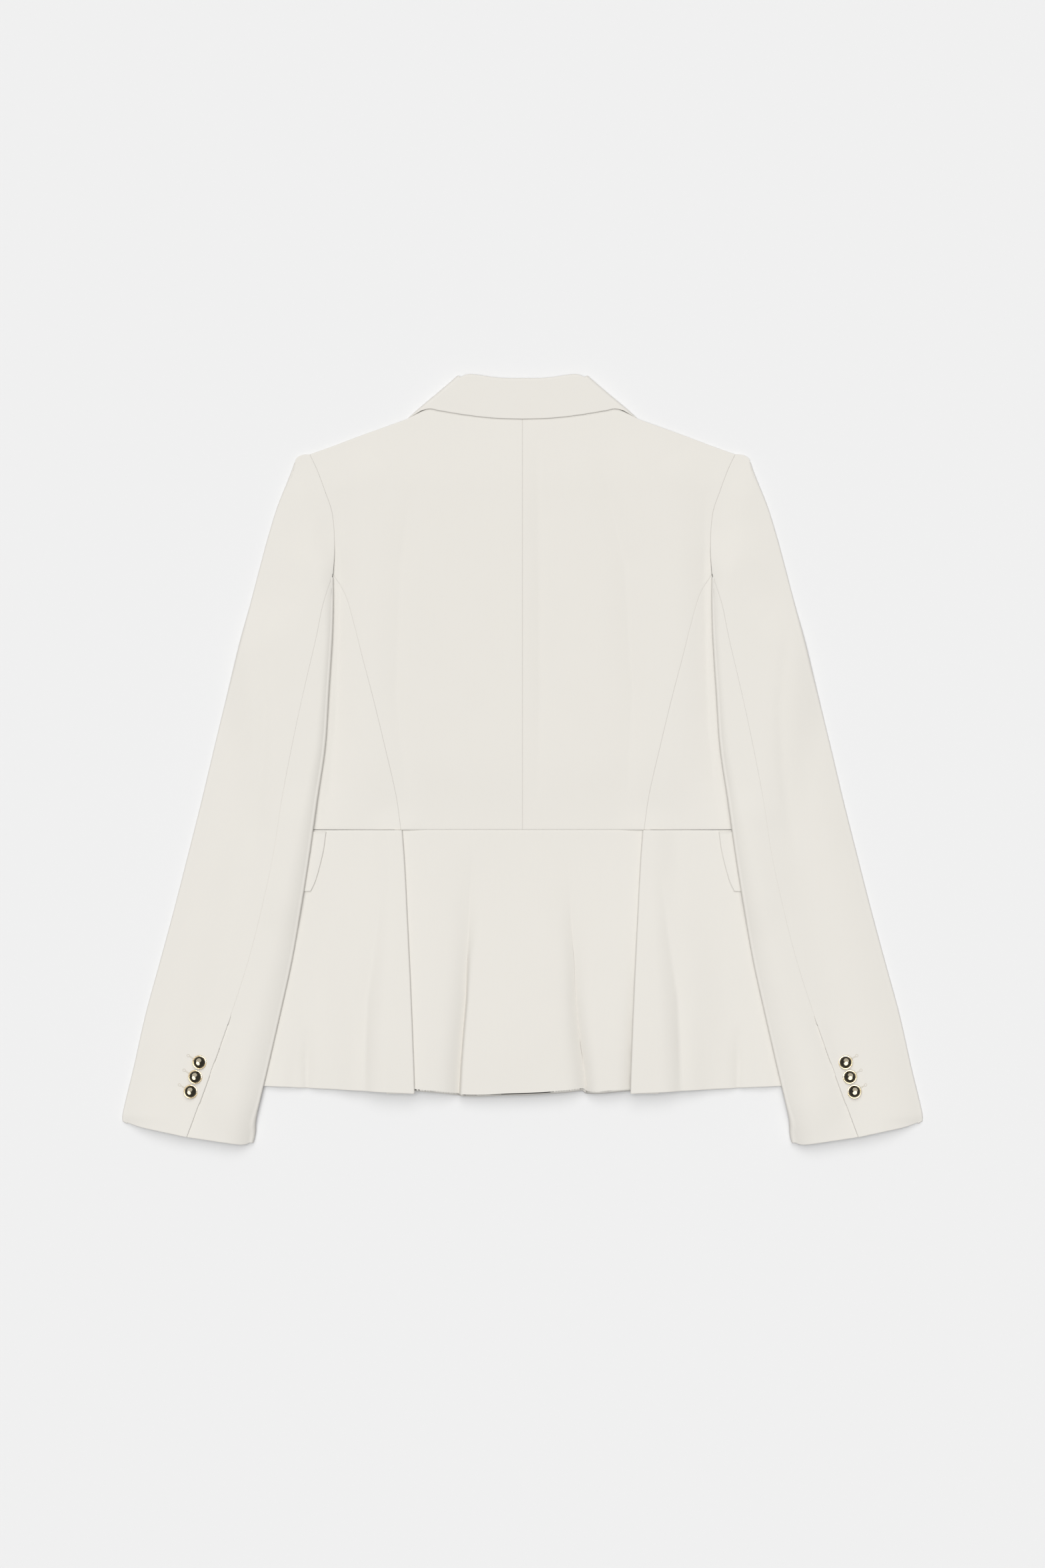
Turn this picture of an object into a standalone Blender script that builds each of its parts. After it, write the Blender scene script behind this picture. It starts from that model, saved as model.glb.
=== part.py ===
"""A cream peplum jacket laid on its front: every cut piece as a wall of cloth.

Metres. X runs across the jacket, with the wearer's right at +X, Y runs up the body from the hem
to the collar, and Z is up from the table. The origin is the middle of the underside.
Outlines are tables in millimetres, as half widths from the centre back, and serve both halves.
"""

import math
from collections import namedtuple

import bmesh
import bpy
import numpy as np

MM = 0.001

# Cloth and how it lies
CLOTH = 1.4 * MM
LAY = 0.4 * MM
LAYER = CLOTH + LAY
SEAM = 0.3 * MM
REST = CLOTH / 2
SLEEVE_PUFF = 5.0 * MM
VENT_LIFT = 0.6 * MM

# Cuff buttons
BUTTON_DIAMETER = 12.7 * MM
BUTTON_RIM = 1.2 * MM
BUTTON_DOME = 3.6 * MM
BUTTON_SHANK_DIAMETER = 5.0 * MM
BUTTON_SHANK = 1.2 * MM

# Colours
CREAM = (0.80, 0.77, 0.69, 1.0)
GOLD = (0.83, 0.62, 0.28, 1.0)

# Body, waist up: the curved back seam and the folded side, hidden by the sleeve
Body = namedtuple("Body", "height back_seam side front_seam")
BODY = (
    Body(-64.8, 111.0, 197.0, 148.0),
    Body(-31.0, 116.0, 202.0, 152.0),
    Body(11.0, 125.6, 211.0, 162.0),
    Body(54.0, 136.0, 221.5, 174.0),
    Body(93.6, 146.4, 229.4, 182.0),
)
# Above the folded side, the seam runs on to the underarm
BACK_SEAM_TOP = ((153.3, 121.0), (161.9, 150.0), (173.2, 168.7))
ARMHOLE = ((173.2, 168.7), (171.8, 194.0), (173.8, 223.6), (180.6, 244.9), (187.9, 264.4), (194.6, 278.5))
UNDERARM_CURVE = ((173.2, 168.7), (178.0, 148.5), (186.7, 127.2), (203.7, 107.7), (229.4, 93.6))
FRONT_SEAM_TOP = (186.7, 127.2)
BACK_NECK = ((0.0, 317.5), (26.8, 318.0), (51.2, 319.6), (78.0, 321.5))
SHOULDER = ((78.0, 321.5), (104.9, 307.6), (124.4, 302.8), (148.8, 294.9), (173.2, 286.1), (194.6, 278.5))

# Peplum: its pleat, its folded side, the seam to the front, and how deep the pleat is
Peplum = namedtuple("Peplum", "height pleat side front_seam depth")
PEPLUM = (
    Peplum(-64.8, 109.8, 197.0, 148.0, 7.0),
    Peplum(-98.5, 107.4, 202.5, 152.0, 9.0),
    Peplum(-147.3, 104.9, 212.3, 158.0, 13.0),
    Peplum(-208.0, 101.9, 226.4, 166.0, 18.0),
    Peplum(-269.0, 99.4, 240.0, 174.0, 23.0),
    Peplum(-305.0, 98.2, 247.5, 178.0, 26.0),
)
HEM_RISE_SIDE = 7.0
HEM_CENTRE = ((0.0, -302.4), (26.8, -303.8), (50.0, -304.8), (62.0, -303.6), (75.6, -301.3), (98.2, -299.6))

# Fronts: the roll line from neck to break point, and the lapel's width on it
NECK_CORNER = (59.8, 349.2)
BREAK = (0.0, 20.0)
GORGE_HEIGHT = 277.0
NECKLINE = ((61.0, 285.0), (70.0, 303.0), (78.0, 321.5))
LAPEL_TOP = 281.0
Lapel = namedtuple("Lapel", "height width")
LAPEL = (
    Lapel(27.0, 4.0),
    Lapel(70.0, 26.0),
    Lapel(120.0, 44.0),
    Lapel(170.0, 57.0),
    Lapel(225.0, 68.0),
    Lapel(254.0, 66.0),
)

# Collar: the roll line, the lower edge of the fall, the slanted fold at the neck and the front end
COLLAR_ROLL = ((0.0, 348.0), (14.6, 348.0), (26.8, 348.9), (39.0, 350.8), (50.0, 351.8), (59.8, 349.2))
COLLAR_FALL = ((0.0, 310.4), (26.8, 311.4), (51.2, 314.1), (75.6, 318.1), (87.8, 319.8), (96.5, 317.0),
               (104.9, 312.0))
COLLAR_FOLD = ((104.9, 312.0), (95.8, 319.3), (78.1, 334.3), (59.8, 349.2))
COLLAR_END = ((103.0, 272.0), (48.0, 283.0))
# How much of the fall's depth the stand has, by distance along the collar from the centre back
Stand = namedtuple("Stand", "along share")
STAND = (Stand(0.0, 0.75), Stand(0.45, 0.72), Stand(0.62, 0.5), Stand(1.0, 0.07))

# Sleeve: inner edge, hind seam, outer edge and the seam underneath
Sleeve = namedtuple("Sleeve", "height inner hind outer fore")
SLEEVE = (
    Sleeve(140.0, 172.8, 182.3, 249.5, 189.0),
    Sleeve(109.0, 173.8, 188.6, 258.0, 198.0),
    Sleeve(60.0, 176.9, 200.0, 270.0, 205.0),
    Sleeve(11.0, 180.2, 210.4, 281.9, 209.0),
    Sleeve(-37.5, 187.3, 219.5, 293.4, 215.0),
    Sleeve(-86.0, 194.1, 226.9, 305.6, 221.0),
    Sleeve(-135.0, 201.9, 237.3, 318.1, 228.0),
    Sleeve(-184.0, 210.5, 249.9, 331.3, 236.0),
    Sleeve(-233.0, 221.3, 265.7, 344.7, 245.0),
    Sleeve(-281.5, 232.4, 283.0, 355.6, 255.0),
)
SLEEVE_HEAD = ((209.8, 267.5), (214.4, 255.3), (224.2, 230.9), (231.8, 206.5), (238.5, 182.1))
HEAD_TOP = ((194.6, 278.5), (201.0, 277.6), (206.5, 273.8))
CUFF_OUTER = (366.4, -330.0)
CUFF_HIND = (306.2, -345.0)
CUFF_FORE = (271.0, -347.5)
CUFF_INNER = (246.4, -349.5)
# The cuff hem bows a little between its seams
CUFF_BOW_UPPER = (337.0, -339.2)
CUFF_BOW_UNDER = (270.0, -351.0)
UNDER_SLEEVE_TOP = ((172.9, 160.5), (175.2, 165.0))
FORE_TOP = (176.5, 164.0)

# Pocket flap, from its rear edge beside the sleeve to its front edge underneath
FLAP_REAR = ((179.4, -66.4), (182.4, -86.3), (188.5, -109.5), (193.5, -121.0))
FLAP_FRONT = ((92.0, -66.4), (90.0, -86.0), (91.0, -109.0), (96.0, -121.0))
FLAP_SIDE = ((207.4, -121.0), (202.5, -98.5), (197.5, -66.4))

# Buttons down the vent, from the top one to the cuff
BUTTONS = ((294.9, -276.9), (298.7, -290.2), (302.9, -303.6))

# Soft folds of the top layer: a crest from start to end, in millimetres, with its width on either
# side (towards +X and -X for an upright crest) and its height at both ends
Fold = namedtuple("Fold", "name x_start y_start x_end y_end right left height_start height_end")
BODY_FOLDS = (
    Fold("right_blade", 33.0, 262.0, 86.0, -18.0, 24.0, 27.0, 1.5, 1.2),
    Fold("right_seam", 138.0, 150.0, 122.0, 20.0, 10.0, 14.0, 0.7, 0.9),
    Fold("left_seam", -138.0, 150.0, -122.0, 20.0, 16.0, 10.0, 0.7, 0.9),
    Fold("left_blade", -58.0, 250.0, -50.0, 0.0, 34.0, 40.0, 0.6, 0.8),
    Fold("centre", -6.0, 235.0, -4.0, -30.0, 5.0, 16.0, 0.5, 0.5),
)
PEPLUM_BACK_FOLDS = (
    Fold("left_tongue", -44.0, -140.0, -49.0, -320.0, 26.0, 6.5, 0.2, 3.0),
    Fold("right_tongue", 42.0, -130.0, 53.0, -320.0, 9.0, 28.0, 0.4, 2.8),
    Fold("tongue", 0.0, -110.0, 2.0, -320.0, 32.0, 32.0, 0.6, 1.2),
    Fold("right_ridge", 76.0, -125.0, 82.0, -320.0, 12.0, 11.0, 0.9, 2.2),
    Fold("left_ridge", -86.0, -100.0, -84.0, -320.0, 11.0, 10.0, 0.6, 1.7),
)
PEPLUM_SIDE_FOLDS = (
    Fold("fan", 134.0, -90.0, 198.0, -320.0, 15.0, 15.0, 0.6, 2.6),
    Fold("by_pleat", 124.0, -130.0, 121.0, -320.0, 13.0, 12.0, 0.2, 1.0),
    Fold("corner", 207.0, -225.0, 224.0, -320.0, 10.0, 9.0, 0.2, 2.0),
)
SLEEVE_FOLDS = (
    Fold("elbow", 222.0, 170.0, 262.0, -10.0, 12.0, 10.0, 0.3, 0.7),
    Fold("forearm", 268.0, -20.0, 318.0, -250.0, 13.0, 13.0, 0.7, 0.3),
)
FOLD_FADE = 28.0

# How far a layer stays up past what lies under it, and how far it then takes to come down
Drape = namedtuple("Drape", "margin ramp")
FRONT_DRAPE = Drape(8 * MM, 26 * MM)
NECK_DRAPE = Drape(12 * MM, 44 * MM)
FLAP_DRAPE = Drape(12 * MM, 38 * MM)
OVER_FLAP_DRAPE = Drape(6 * MM, 24 * MM)
PLEAT_DRAPE = Drape(1 * MM, 22 * MM)
SLEEVE_DRAPE = Drape(8 * MM, 26 * MM)
WAIST_RISE = 34 * MM
PLEAT_FREE = 12 * MM
HEAD_FULL_WIDTH = 60 * MM

# The vent: where it starts, how soon its edge lifts, and how wide the lifted strip is
VENT_TOP = -225 * MM
VENT_FADE = 20 * MM
VENT_REACH = 8 * MM

# Rows and columns of faces
SLEEVE_ROWS = 14
SLEEVE_COLUMNS = 6
UNDER_SLEEVE_COLUMNS = 3
PEPLUM_ROWS = 10
ARMHOLE_ROWS = 6
SEAM_ROWS = 13
BEND_STEPS = 4


def points(*rows):
    """Millimetre rows as an array in metres."""
    return np.array(rows, dtype=float) * MM


def column(table, name, lowest=None):
    """One edge of a section table as points, from its lowest section up."""
    rows = sorted((row.height, getattr(row, name)) for row in table)
    edge = [(width, height) for height, width in rows]
    return ([lowest] if lowest is not None else []) + edge


def smooth_curve(controls, count):
    """A smooth curve through the controls, as count + 1 points spaced evenly along it."""
    controls = np.asarray(controls, dtype=float)
    if len(controls) == 2:
        share = np.linspace(0.0, 1.0, count + 1)[:, None]
        return controls[0] * (1 - share) + controls[1] * share
    padded = np.vstack([2 * controls[0] - controls[1], controls, 2 * controls[-1] - controls[-2]])
    pieces = []
    for before, start, end, after in zip(padded, padded[1:], padded[2:], padded[3:]):
        for t in np.linspace(0.0, 1.0, 24, endpoint=False):
            pieces.append(0.5 * (2 * start + (end - before) * t
                                 + (2 * before - 5 * start + 4 * end - after) * t**2
                                 + (3 * start - before - 3 * end + after) * t**3))
    fine = np.array(pieces + [controls[-1]])
    run = np.concatenate([[0.0], np.cumsum(np.linalg.norm(np.diff(fine, axis=0), axis=1))])
    places = np.linspace(0.0, run[-1], count + 1)
    return np.column_stack([np.interp(places, run, fine[:, axis]) for axis in range(2)])


def chain(*curves):
    """Curves joined end to end, each shared point once."""
    joined = curves[0]
    for curve in curves[1:]:
        shared = np.allclose(joined[-1], curve[0], atol=0.01 * MM)
        joined = np.vstack([joined, curve[1:] if shared else curve])
    return joined


def soft_step(value):
    """0 up to 0 and 1 from 1, with a level start and end."""
    value = np.clip(value, 0.0, 1.0)
    return value * value * (3 - 2 * value)


def cover(plan, outline, drape):
    """1 over a closed outline and its margin, falling softly to 0 over the ramp."""
    start = np.asarray(outline)
    end = np.roll(start, -1, axis=0)
    away = np.full(plan.shape[:-1], np.inf)
    inside = np.zeros(plan.shape[:-1], dtype=bool)
    x, y = plan[..., 0], plan[..., 1]
    for (x0, y0), (x1, y1) in zip(start, end):
        run_x, run_y = x1 - x0, y1 - y0
        share = np.clip(((x - x0) * run_x + (y - y0) * run_y) / (run_x**2 + run_y**2 + 1e-12), 0, 1)
        away = np.minimum(away, np.hypot(x - x0 - share * run_x, y - y0 - share * run_y))
        if y0 != y1:
            crossing = (y0 > y) != (y1 > y)
            inside ^= crossing & (x < x0 + run_x * (y - y0) / run_y)
    away = np.where(inside, 0.0, away)
    return 1 - soft_step((away - drape.margin) / drape.ramp)


def mirrored(plan):
    """The same places folded on to the right half."""
    return np.stack([np.abs(plan[..., 0]), plan[..., 1]], axis=-1)


def relief(plan, folds):
    """Height that a table of folds adds."""
    height = np.zeros(plan.shape[:-1])
    for fold in folds:
        start = points((fold.x_start, fold.y_start))[0]
        end = points((fold.x_end, fold.y_end))[0]
        length = np.linalg.norm(end - start)
        along = (end - start) / length
        offset = plan - start
        place = offset @ along
        beside = offset @ np.array([-along[1], along[0]])
        width = np.where(beside > 0, fold.right, fold.left) * MM
        share = np.clip(place / length, 0, 1)
        past = np.maximum(np.maximum(-place, place - length), 0)
        crest = (fold.height_start * (1 - share) + fold.height_end * share) * MM
        height += crest * np.exp(-(beside / width) ** 2 - (past / (FOLD_FADE * MM)) ** 2)
    return height


def roll_line(height, beyond=0.0):
    """The lapel's roll line at a height, or a distance outside it."""
    share = (height - BREAK[1]) / (NECK_CORNER[1] - BREAK[1])
    return (NECK_CORNER[0] * share + beyond, height)


LAPEL_EDGE = [roll_line(row.height, row.width) for row in LAPEL]
TURNED_BACK = np.vstack([points(BREAK), points(*LAPEL_EDGE), points(COLLAR_END[0]),
                         points(*COLLAR_FOLD), points(BREAK)])
NECK_OUTLINE = np.vstack([points(BREAK), points(*LAPEL_EDGE), points(COLLAR_END[0]), points(*COLLAR_FOLD),
                          points((0.0, NECK_CORNER[1]))])
FLAP_OUTLINE = np.vstack([points(*FLAP_FRONT), points(*FLAP_SIDE)])
FLAP_TOP_OUTLINE = np.vstack([points(*FLAP_REAR), points(*FLAP_SIDE)])
PLEAT_INSIDE = sorted(((row.pleat + row.depth, row.height) for row in PEPLUM), key=lambda place: place[1])
BODY_UNDER_SLEEVE = np.vstack([
    points(*UNDERARM_CURVE), points(*column(BODY, "side")[::-1][1:]), points(*column(PEPLUM, "side")[::-1][1:]),
    points((0.0, PEPLUM[-1].height), (0.0, UNDERARM_CURVE[0][1]))])


def front_height(plan):
    """Middle of the fronts: on the table, and a layer up over the lapel, collar and flap."""
    folded = mirrored(plan)
    under = np.maximum(cover(folded, TURNED_BACK, FRONT_DRAPE), cover(folded, FLAP_OUTLINE, FRONT_DRAPE))
    return REST + LAYER * under


def over_front(plan):
    """Middle of the first layer over the fronts, before its folds."""
    folded = mirrored(plan)
    under = np.maximum(cover(folded, NECK_OUTLINE, NECK_DRAPE), cover(folded, FLAP_OUTLINE, FLAP_DRAPE))
    return REST + LAYER * (1 + under)


def pleat_cover(plan):
    """1 over a pleat's turned-under layers, and 0 away from them."""
    outline = np.vstack([points(*column(PEPLUM, "pleat")), points(*PLEAT_INSIDE[::-1])])
    return cover(mirrored(plan), outline, PLEAT_DRAPE)


def back_height(plan):
    """Middle of the body's top layer."""
    near_waist = soft_step(1 - (plan[..., 1] - BODY[0].height * MM) / WAIST_RISE)
    return over_front(plan) + relief(plan, BODY_FOLDS) + LAYER * pleat_cover(plan) * near_waist


def peplum_back_height(plan):
    """Middle of the peplum back, level where it runs under the pleats."""
    pleat = np.interp(-plan[..., 1], [-row.height * MM for row in PEPLUM], [row.pleat * MM for row in PEPLUM])
    free = soft_step((pleat - np.abs(plan[..., 0])) / PLEAT_FREE)
    return over_front(plan) + relief(plan, PEPLUM_BACK_FOLDS) * free


def return_height(plan):
    """Middle of the cloth that a pleat turns under."""
    return over_front(plan) + LAYER


def peplum_side_height(plan):
    """Middle of the peplum side's top layer."""
    return over_front(plan) + 2 * LAYER * pleat_cover(plan) + relief(mirrored(plan), PEPLUM_SIDE_FOLDS)


def flap_height(plan):
    """Middle of the pocket flap where it lies on the peplum side."""
    return peplum_side_height(plan) + LAYER


def body_top(plan):
    """Middle of whatever is the body's top layer under the sleeve."""
    waist = BODY[0].height * MM
    height = np.where(plan[..., 1] > waist, back_height(plan), peplum_side_height(plan))
    return height + LAYER * cover(mirrored(plan), FLAP_TOP_OUTLINE, OVER_FLAP_DRAPE)


def sleeve_low_height(plan):
    """Middle of a sleeve's lower layer: over the body, then down to the table."""
    on_body = cover(mirrored(plan), BODY_UNDER_SLEEVE, SLEEVE_DRAPE)
    return REST + on_body * (body_top(plan) + LAYER - REST)


def sleeve_edge(plan, name, upper, lower):
    """An edge of the sleeve as a half width at each place's height."""
    edge = sorted((y, x) for x, y in list(upper) + column(SLEEVE, name) + [lower])
    return np.interp(plan[..., 1], [y * MM for y, _ in edge], [x * MM for _, x in edge])


def sleeve_puff(plan):
    """How far a sleeve's two layers part, most along its middle."""
    inner = sleeve_edge(plan, "inner", ARMHOLE, CUFF_INNER)
    outer = sleeve_edge(plan, "outer", SLEEVE_HEAD + HEAD_TOP[-1:], CUFF_OUTER)
    width = outer - inner
    across = np.clip((np.abs(plan[..., 0]) - inner) / width, 0, 1)
    return SLEEVE_PUFF * soft_step(width / HEAD_FULL_WIDTH) * (1 - np.abs(2 * across - 1) ** 4)


def vent_lift(plan):
    """The upper sleeve's edge stands proud along the vent."""
    hind = sleeve_edge(plan, "hind", (), CUFF_HIND)
    beside = np.abs(plan[..., 0]) - hind
    low = soft_step((VENT_TOP - plan[..., 1]) / VENT_FADE)
    return VENT_LIFT * low * np.where(beside > 0, np.exp(-(beside / VENT_REACH) ** 2), 0.0)


def under_sleeve_height(plan):
    """Middle of a sleeve's top layer."""
    return sleeve_low_height(plan) + LAYER + sleeve_puff(plan) + relief(mirrored(plan), SLEEVE_FOLDS)


def upper_sleeve_height(plan):
    """The same with the vent's lifted edge."""
    return under_sleeve_height(plan) + vent_lift(plan)


def coons(bottom, top, left, right):
    """A grid of plan points between four edges, rows from bottom to top."""
    u = np.linspace(0, 1, len(bottom))[None, :, None]
    v = np.linspace(0, 1, len(left))[:, None, None]
    corners = ((1 - u) * (1 - v) * left[0] + u * (1 - v) * right[0] + (1 - u) * v * left[-1] + u * v * right[-1])
    return ((1 - v) * bottom[None] + v * top[None] + (1 - u) * left[:, None] + u * right[:, None]) - corners


def lifted(plan, height):
    """Plan points with the height of their layer."""
    return np.concatenate([plan, height(plan)[..., None]], axis=-1)


def outward_of(edge, side):
    """Unit plan normals of an edge that runs up the sheet, to its right for side 1."""
    along = np.gradient(edge, axis=0)
    normal = np.column_stack([along[:, 1], -along[:, 0]]) * side
    return normal / np.linalg.norm(normal, axis=1)[:, None]


def fold_inset(edge, side, first, second):
    """The edge moved in so that the cloth folded there just reaches it."""
    outward = outward_of(edge, side)
    moved = edge
    for _ in range(3):
        radius = np.abs(first(moved) - second(moved)) / 2
        moved = edge - outward * (radius + CLOTH / 2)[:, None]
    return moved


def bend(edge, side, first, second, steps):
    """The columns of a half turn that joins two layers along an edge, ends left out."""
    outward = outward_of(edge, side)
    start, end = first(edge), second(edge)
    middle, radius = (start + end) / 2, (end - start) / 2
    columns = []
    for angle in np.linspace(-math.pi / 2, math.pi / 2, steps + 1)[1:-1]:
        plan = edge + outward * (np.abs(radius) * math.cos(angle))[:, None]
        columns.append(np.column_stack([plan, middle + radius * math.sin(angle)]))
    return np.stack(columns, axis=1)


def inset(rows):
    """A sheet with its four edges drawn in by half a seam's gap."""
    rows = rows.copy()
    for edge, inner in ((np.s_[:, 0], np.s_[:, 1]), (np.s_[:, -1], np.s_[:, -2]),
                        (np.s_[0], np.s_[1]), (np.s_[-1], np.s_[-2])):
        inward = rows[inner] - rows[edge]
        rows[edge] += inward / np.linalg.norm(inward, axis=-1, keepdims=True) * SEAM / 2
    return rows


def sheet_normals(rows):
    """Unit normals of a sheet at its points."""
    across = np.gradient(rows, axis=1)
    along = np.gradient(rows, axis=0)
    normal = np.cross(across, along)
    return normal / np.linalg.norm(normal, axis=-1, keepdims=True)


def cloth(name, rows, finish):
    """One closed wall of cloth about a sheet of middle points, as an object."""
    normals = sheet_normals(rows)
    upper = rows + normals * CLOTH / 2
    lower = rows - normals * CLOTH / 2
    count_rows, count_columns = rows.shape[:2]
    mesh = bmesh.new()
    top = [[mesh.verts.new(point) for point in row] for row in upper]
    under = [[mesh.verts.new(point) for point in row] for row in lower]
    for i in range(count_rows - 1):
        for j in range(count_columns - 1):
            mesh.faces.new((top[i][j], top[i][j + 1], top[i + 1][j + 1], top[i + 1][j]))
            mesh.faces.new((under[i][j], under[i + 1][j], under[i + 1][j + 1], under[i][j + 1]))
    rim = ([(0, j) for j in range(count_columns)] + [(i, count_columns - 1) for i in range(1, count_rows)]
           + [(count_rows - 1, j) for j in range(count_columns - 2, -1, -1)]
           + [(i, 0) for i in range(count_rows - 2, 0, -1)])
    for (i, j), (k, m) in zip(rim, rim[1:] + rim[:1]):
        mesh.faces.new((under[i][j], under[k][m], top[k][m], top[i][j]))
    return finished(name, mesh, finish)


def finished(name, mesh, finish):
    """A bmesh as a named object with its material, faces outwards."""
    bmesh.ops.recalc_face_normals(mesh, faces=mesh.faces)
    data = bpy.data.meshes.new(name)
    mesh.to_mesh(data)
    mesh.free()
    data.materials.append(finish)
    data.shade_smooth()
    data.set_sharp_from_angle(angle=math.radians(40))
    made = bpy.data.objects.new(name, data)
    bpy.context.scene.collection.objects.link(made)
    return made


def material(name, colour, roughness, metallic=0.0):
    """A plain Principled finish."""
    made = bpy.data.materials.new(name)
    made.use_nodes = True
    shader = made.node_tree.nodes["Principled BSDF"]
    shader.inputs["Base Color"].default_value = colour
    shader.inputs["Roughness"].default_value = roughness
    shader.inputs["Metallic"].default_value = metallic
    return made


def on_side(plan, side):
    """Right-half plan points on the right (1) or the left (-1)."""
    return plan * np.array([side, 1.0])


def named(stem, side):
    """A piece's name with its side."""
    return f"{stem}_{'right' if side > 0 else 'left'}"


def for_side(height, side):
    """A height function for right-half points of a piece on either side."""
    return lambda plan: height(on_side(plan, side))


def placed(rows, side):
    """Right-half sheet points moved to their own side."""
    return rows * np.array([side, 1.0, 1.0])


def curved_seam():
    """The seam from waist to underarm between the centre back and the side panel."""
    return smooth_curve(points(*(column(BODY, "back_seam") + list(BACK_SEAM_TOP))), SEAM_ROWS)


def body_back(side, finish):
    armhole = smooth_curve(points(*ARMHOLE), ARMHOLE_ROWS)
    outer = chain(curved_seam(), armhole)
    centre = smooth_curve(points((0.0, BODY[0].height), BACK_NECK[0]), len(outer) - 1)
    top = chain(smooth_curve(points(*BACK_NECK), 5), smooth_curve(points(*SHOULDER), 6))
    waist = smooth_curve(points((0.0, BODY[0].height), (BODY[0].back_seam, BODY[0].height)), len(top) - 1)
    sheet = inset(lifted(coons(waist, top, centre, outer), for_side(back_height, side)))
    cloth(named("back", side), placed(sheet, side), finish)


def body_side(side, finish):
    """The side panel: top layer, round the side, and under to the front seam."""
    high, low = for_side(back_height, side), for_side(front_height, side)
    seam = curved_seam()
    rows = len(seam) - 1
    edge = fold_inset(smooth_curve(points(*column(BODY, "side")), rows), 1, high, low)
    front_seam = smooth_curve(points(*(column(BODY, "front_seam") + [FRONT_SEAM_TOP])), rows)
    across = 6
    underarm = smooth_curve(np.vstack([points(*UNDERARM_CURVE[:-1]), edge[-1]]), across)
    waist = smooth_curve(np.vstack([seam[0], edge[0]]), across)
    over = lifted(coons(waist, underarm, seam, edge), high)
    armhole_under = smooth_curve(np.vstack([edge[-1], points((203.7, 107.7), FRONT_SEAM_TOP)]), across - 2)
    waist_under = smooth_curve(np.vstack([edge[0], front_seam[0]]), across - 2)
    under = lifted(coons(waist_under, armhole_under, edge, front_seam), low)
    sheet = np.concatenate([over, bend(edge, 1, high, low, BEND_STEPS), under], axis=1)
    cloth(named("side", side), placed(inset(sheet), side), finish)


def body_front(side, finish):
    low = for_side(front_height, side)
    armhole = smooth_curve(points(*ARMHOLE), ARMHOLE_ROWS)
    underarm = smooth_curve(points((186.7, 127.2), (178.0, 148.5), (173.2, 168.7)), 3)
    front_seam = smooth_curve(points(*(column(BODY, "front_seam") + [FRONT_SEAM_TOP])), 8)
    outer = chain(front_seam, underarm, armhole)
    turn = LAYER / 2 + CLOTH / 2
    centre = smooth_curve(points((0.0, BODY[0].height), BREAK), 3)
    roll = smooth_curve(points(BREAK, roll_line(GORGE_HEIGHT)), len(outer) - 1 - 3 - 3) + np.array([turn, 0.0])
    centre[-1] = roll[0]
    neck = smooth_curve(np.vstack([roll[-1], points(*NECKLINE)]), 3)
    inner = chain(centre, roll, neck)
    shoulder = smooth_curve(points(*SHOULDER), 8)
    waist = smooth_curve(points((0.0, BODY[0].height), (BODY[0].front_seam, BODY[0].height)), 8)
    sheet = inset(lifted(coons(waist, shoulder, inner, outer), low))
    cloth(named("front", side), placed(sheet, side), finish)


def on_table(plan):
    """Middle of cloth that lies on the table."""
    return np.full(plan.shape[:-1], REST)


def lapel(side, finish):
    """The turned-back lapel: a half turn down from the front's edge, then flat on the table."""
    first = for_side(front_height, side)
    count = 10
    roll = smooth_curve(points(roll_line(LAPEL[0].height), roll_line(LAPEL_TOP)), count)
    edge = roll + np.array([LAYER / 2 + CLOTH / 2, 0.0])
    outer = smooth_curve(points(*LAPEL_EDGE), count)
    bottom = smooth_curve(np.vstack([edge[0], outer[0]]), 3)
    top = smooth_curve(np.vstack([edge[-1], outer[-1]]), 3)
    flat = lifted(coons(bottom, top, edge, outer), on_table)
    sheet = np.concatenate([bend(edge, -1, first, on_table, BEND_STEPS), flat], axis=1)
    cloth(named("lapel", side), placed(inset(sheet), side), finish)


def collar_half():
    """Middle between fall and stand over the right half: over the back, round the fold, to the front end."""
    def high(plan):
        return over_front(plan) + LAYER / 2

    def low(plan):
        return on_table(plan) + LAYER / 2

    rows = 4
    reach = LAYER + LAYER / 2 + CLOTH / 2
    fold = smooth_curve(points(*COLLAR_FOLD), rows)
    edge = fold - outward_of(fold, 1) * reach
    centre = smooth_curve(points(COLLAR_FALL[0], COLLAR_ROLL[0]), rows)
    roll_drop = np.array([0.0, LAYER / 2 + CLOTH / 2])
    centre[-1] -= roll_drop
    edge[-1] -= roll_drop / 2
    fall = smooth_curve(np.vstack([points(*COLLAR_FALL[:-1]), edge[0]]), 8)
    roll = smooth_curve(np.vstack([points(*COLLAR_ROLL[:-1]) - roll_drop, edge[-1]]), 8)
    over = lifted(coons(fall, roll, centre, edge), high)
    end = smooth_curve(points(*COLLAR_END), rows)
    end[-1] += np.array([LAYER / 2 + CLOTH / 2, 0.0])
    outer = smooth_curve(np.vstack([edge[0], end[0]]), 3)
    inner = smooth_curve(np.vstack([edge[-1], end[-1]]), 3)
    under = lifted(coons(outer, inner, edge, end), low)
    return np.concatenate([over, bend(edge, 1, high, low, 5), under], axis=1)


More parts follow.
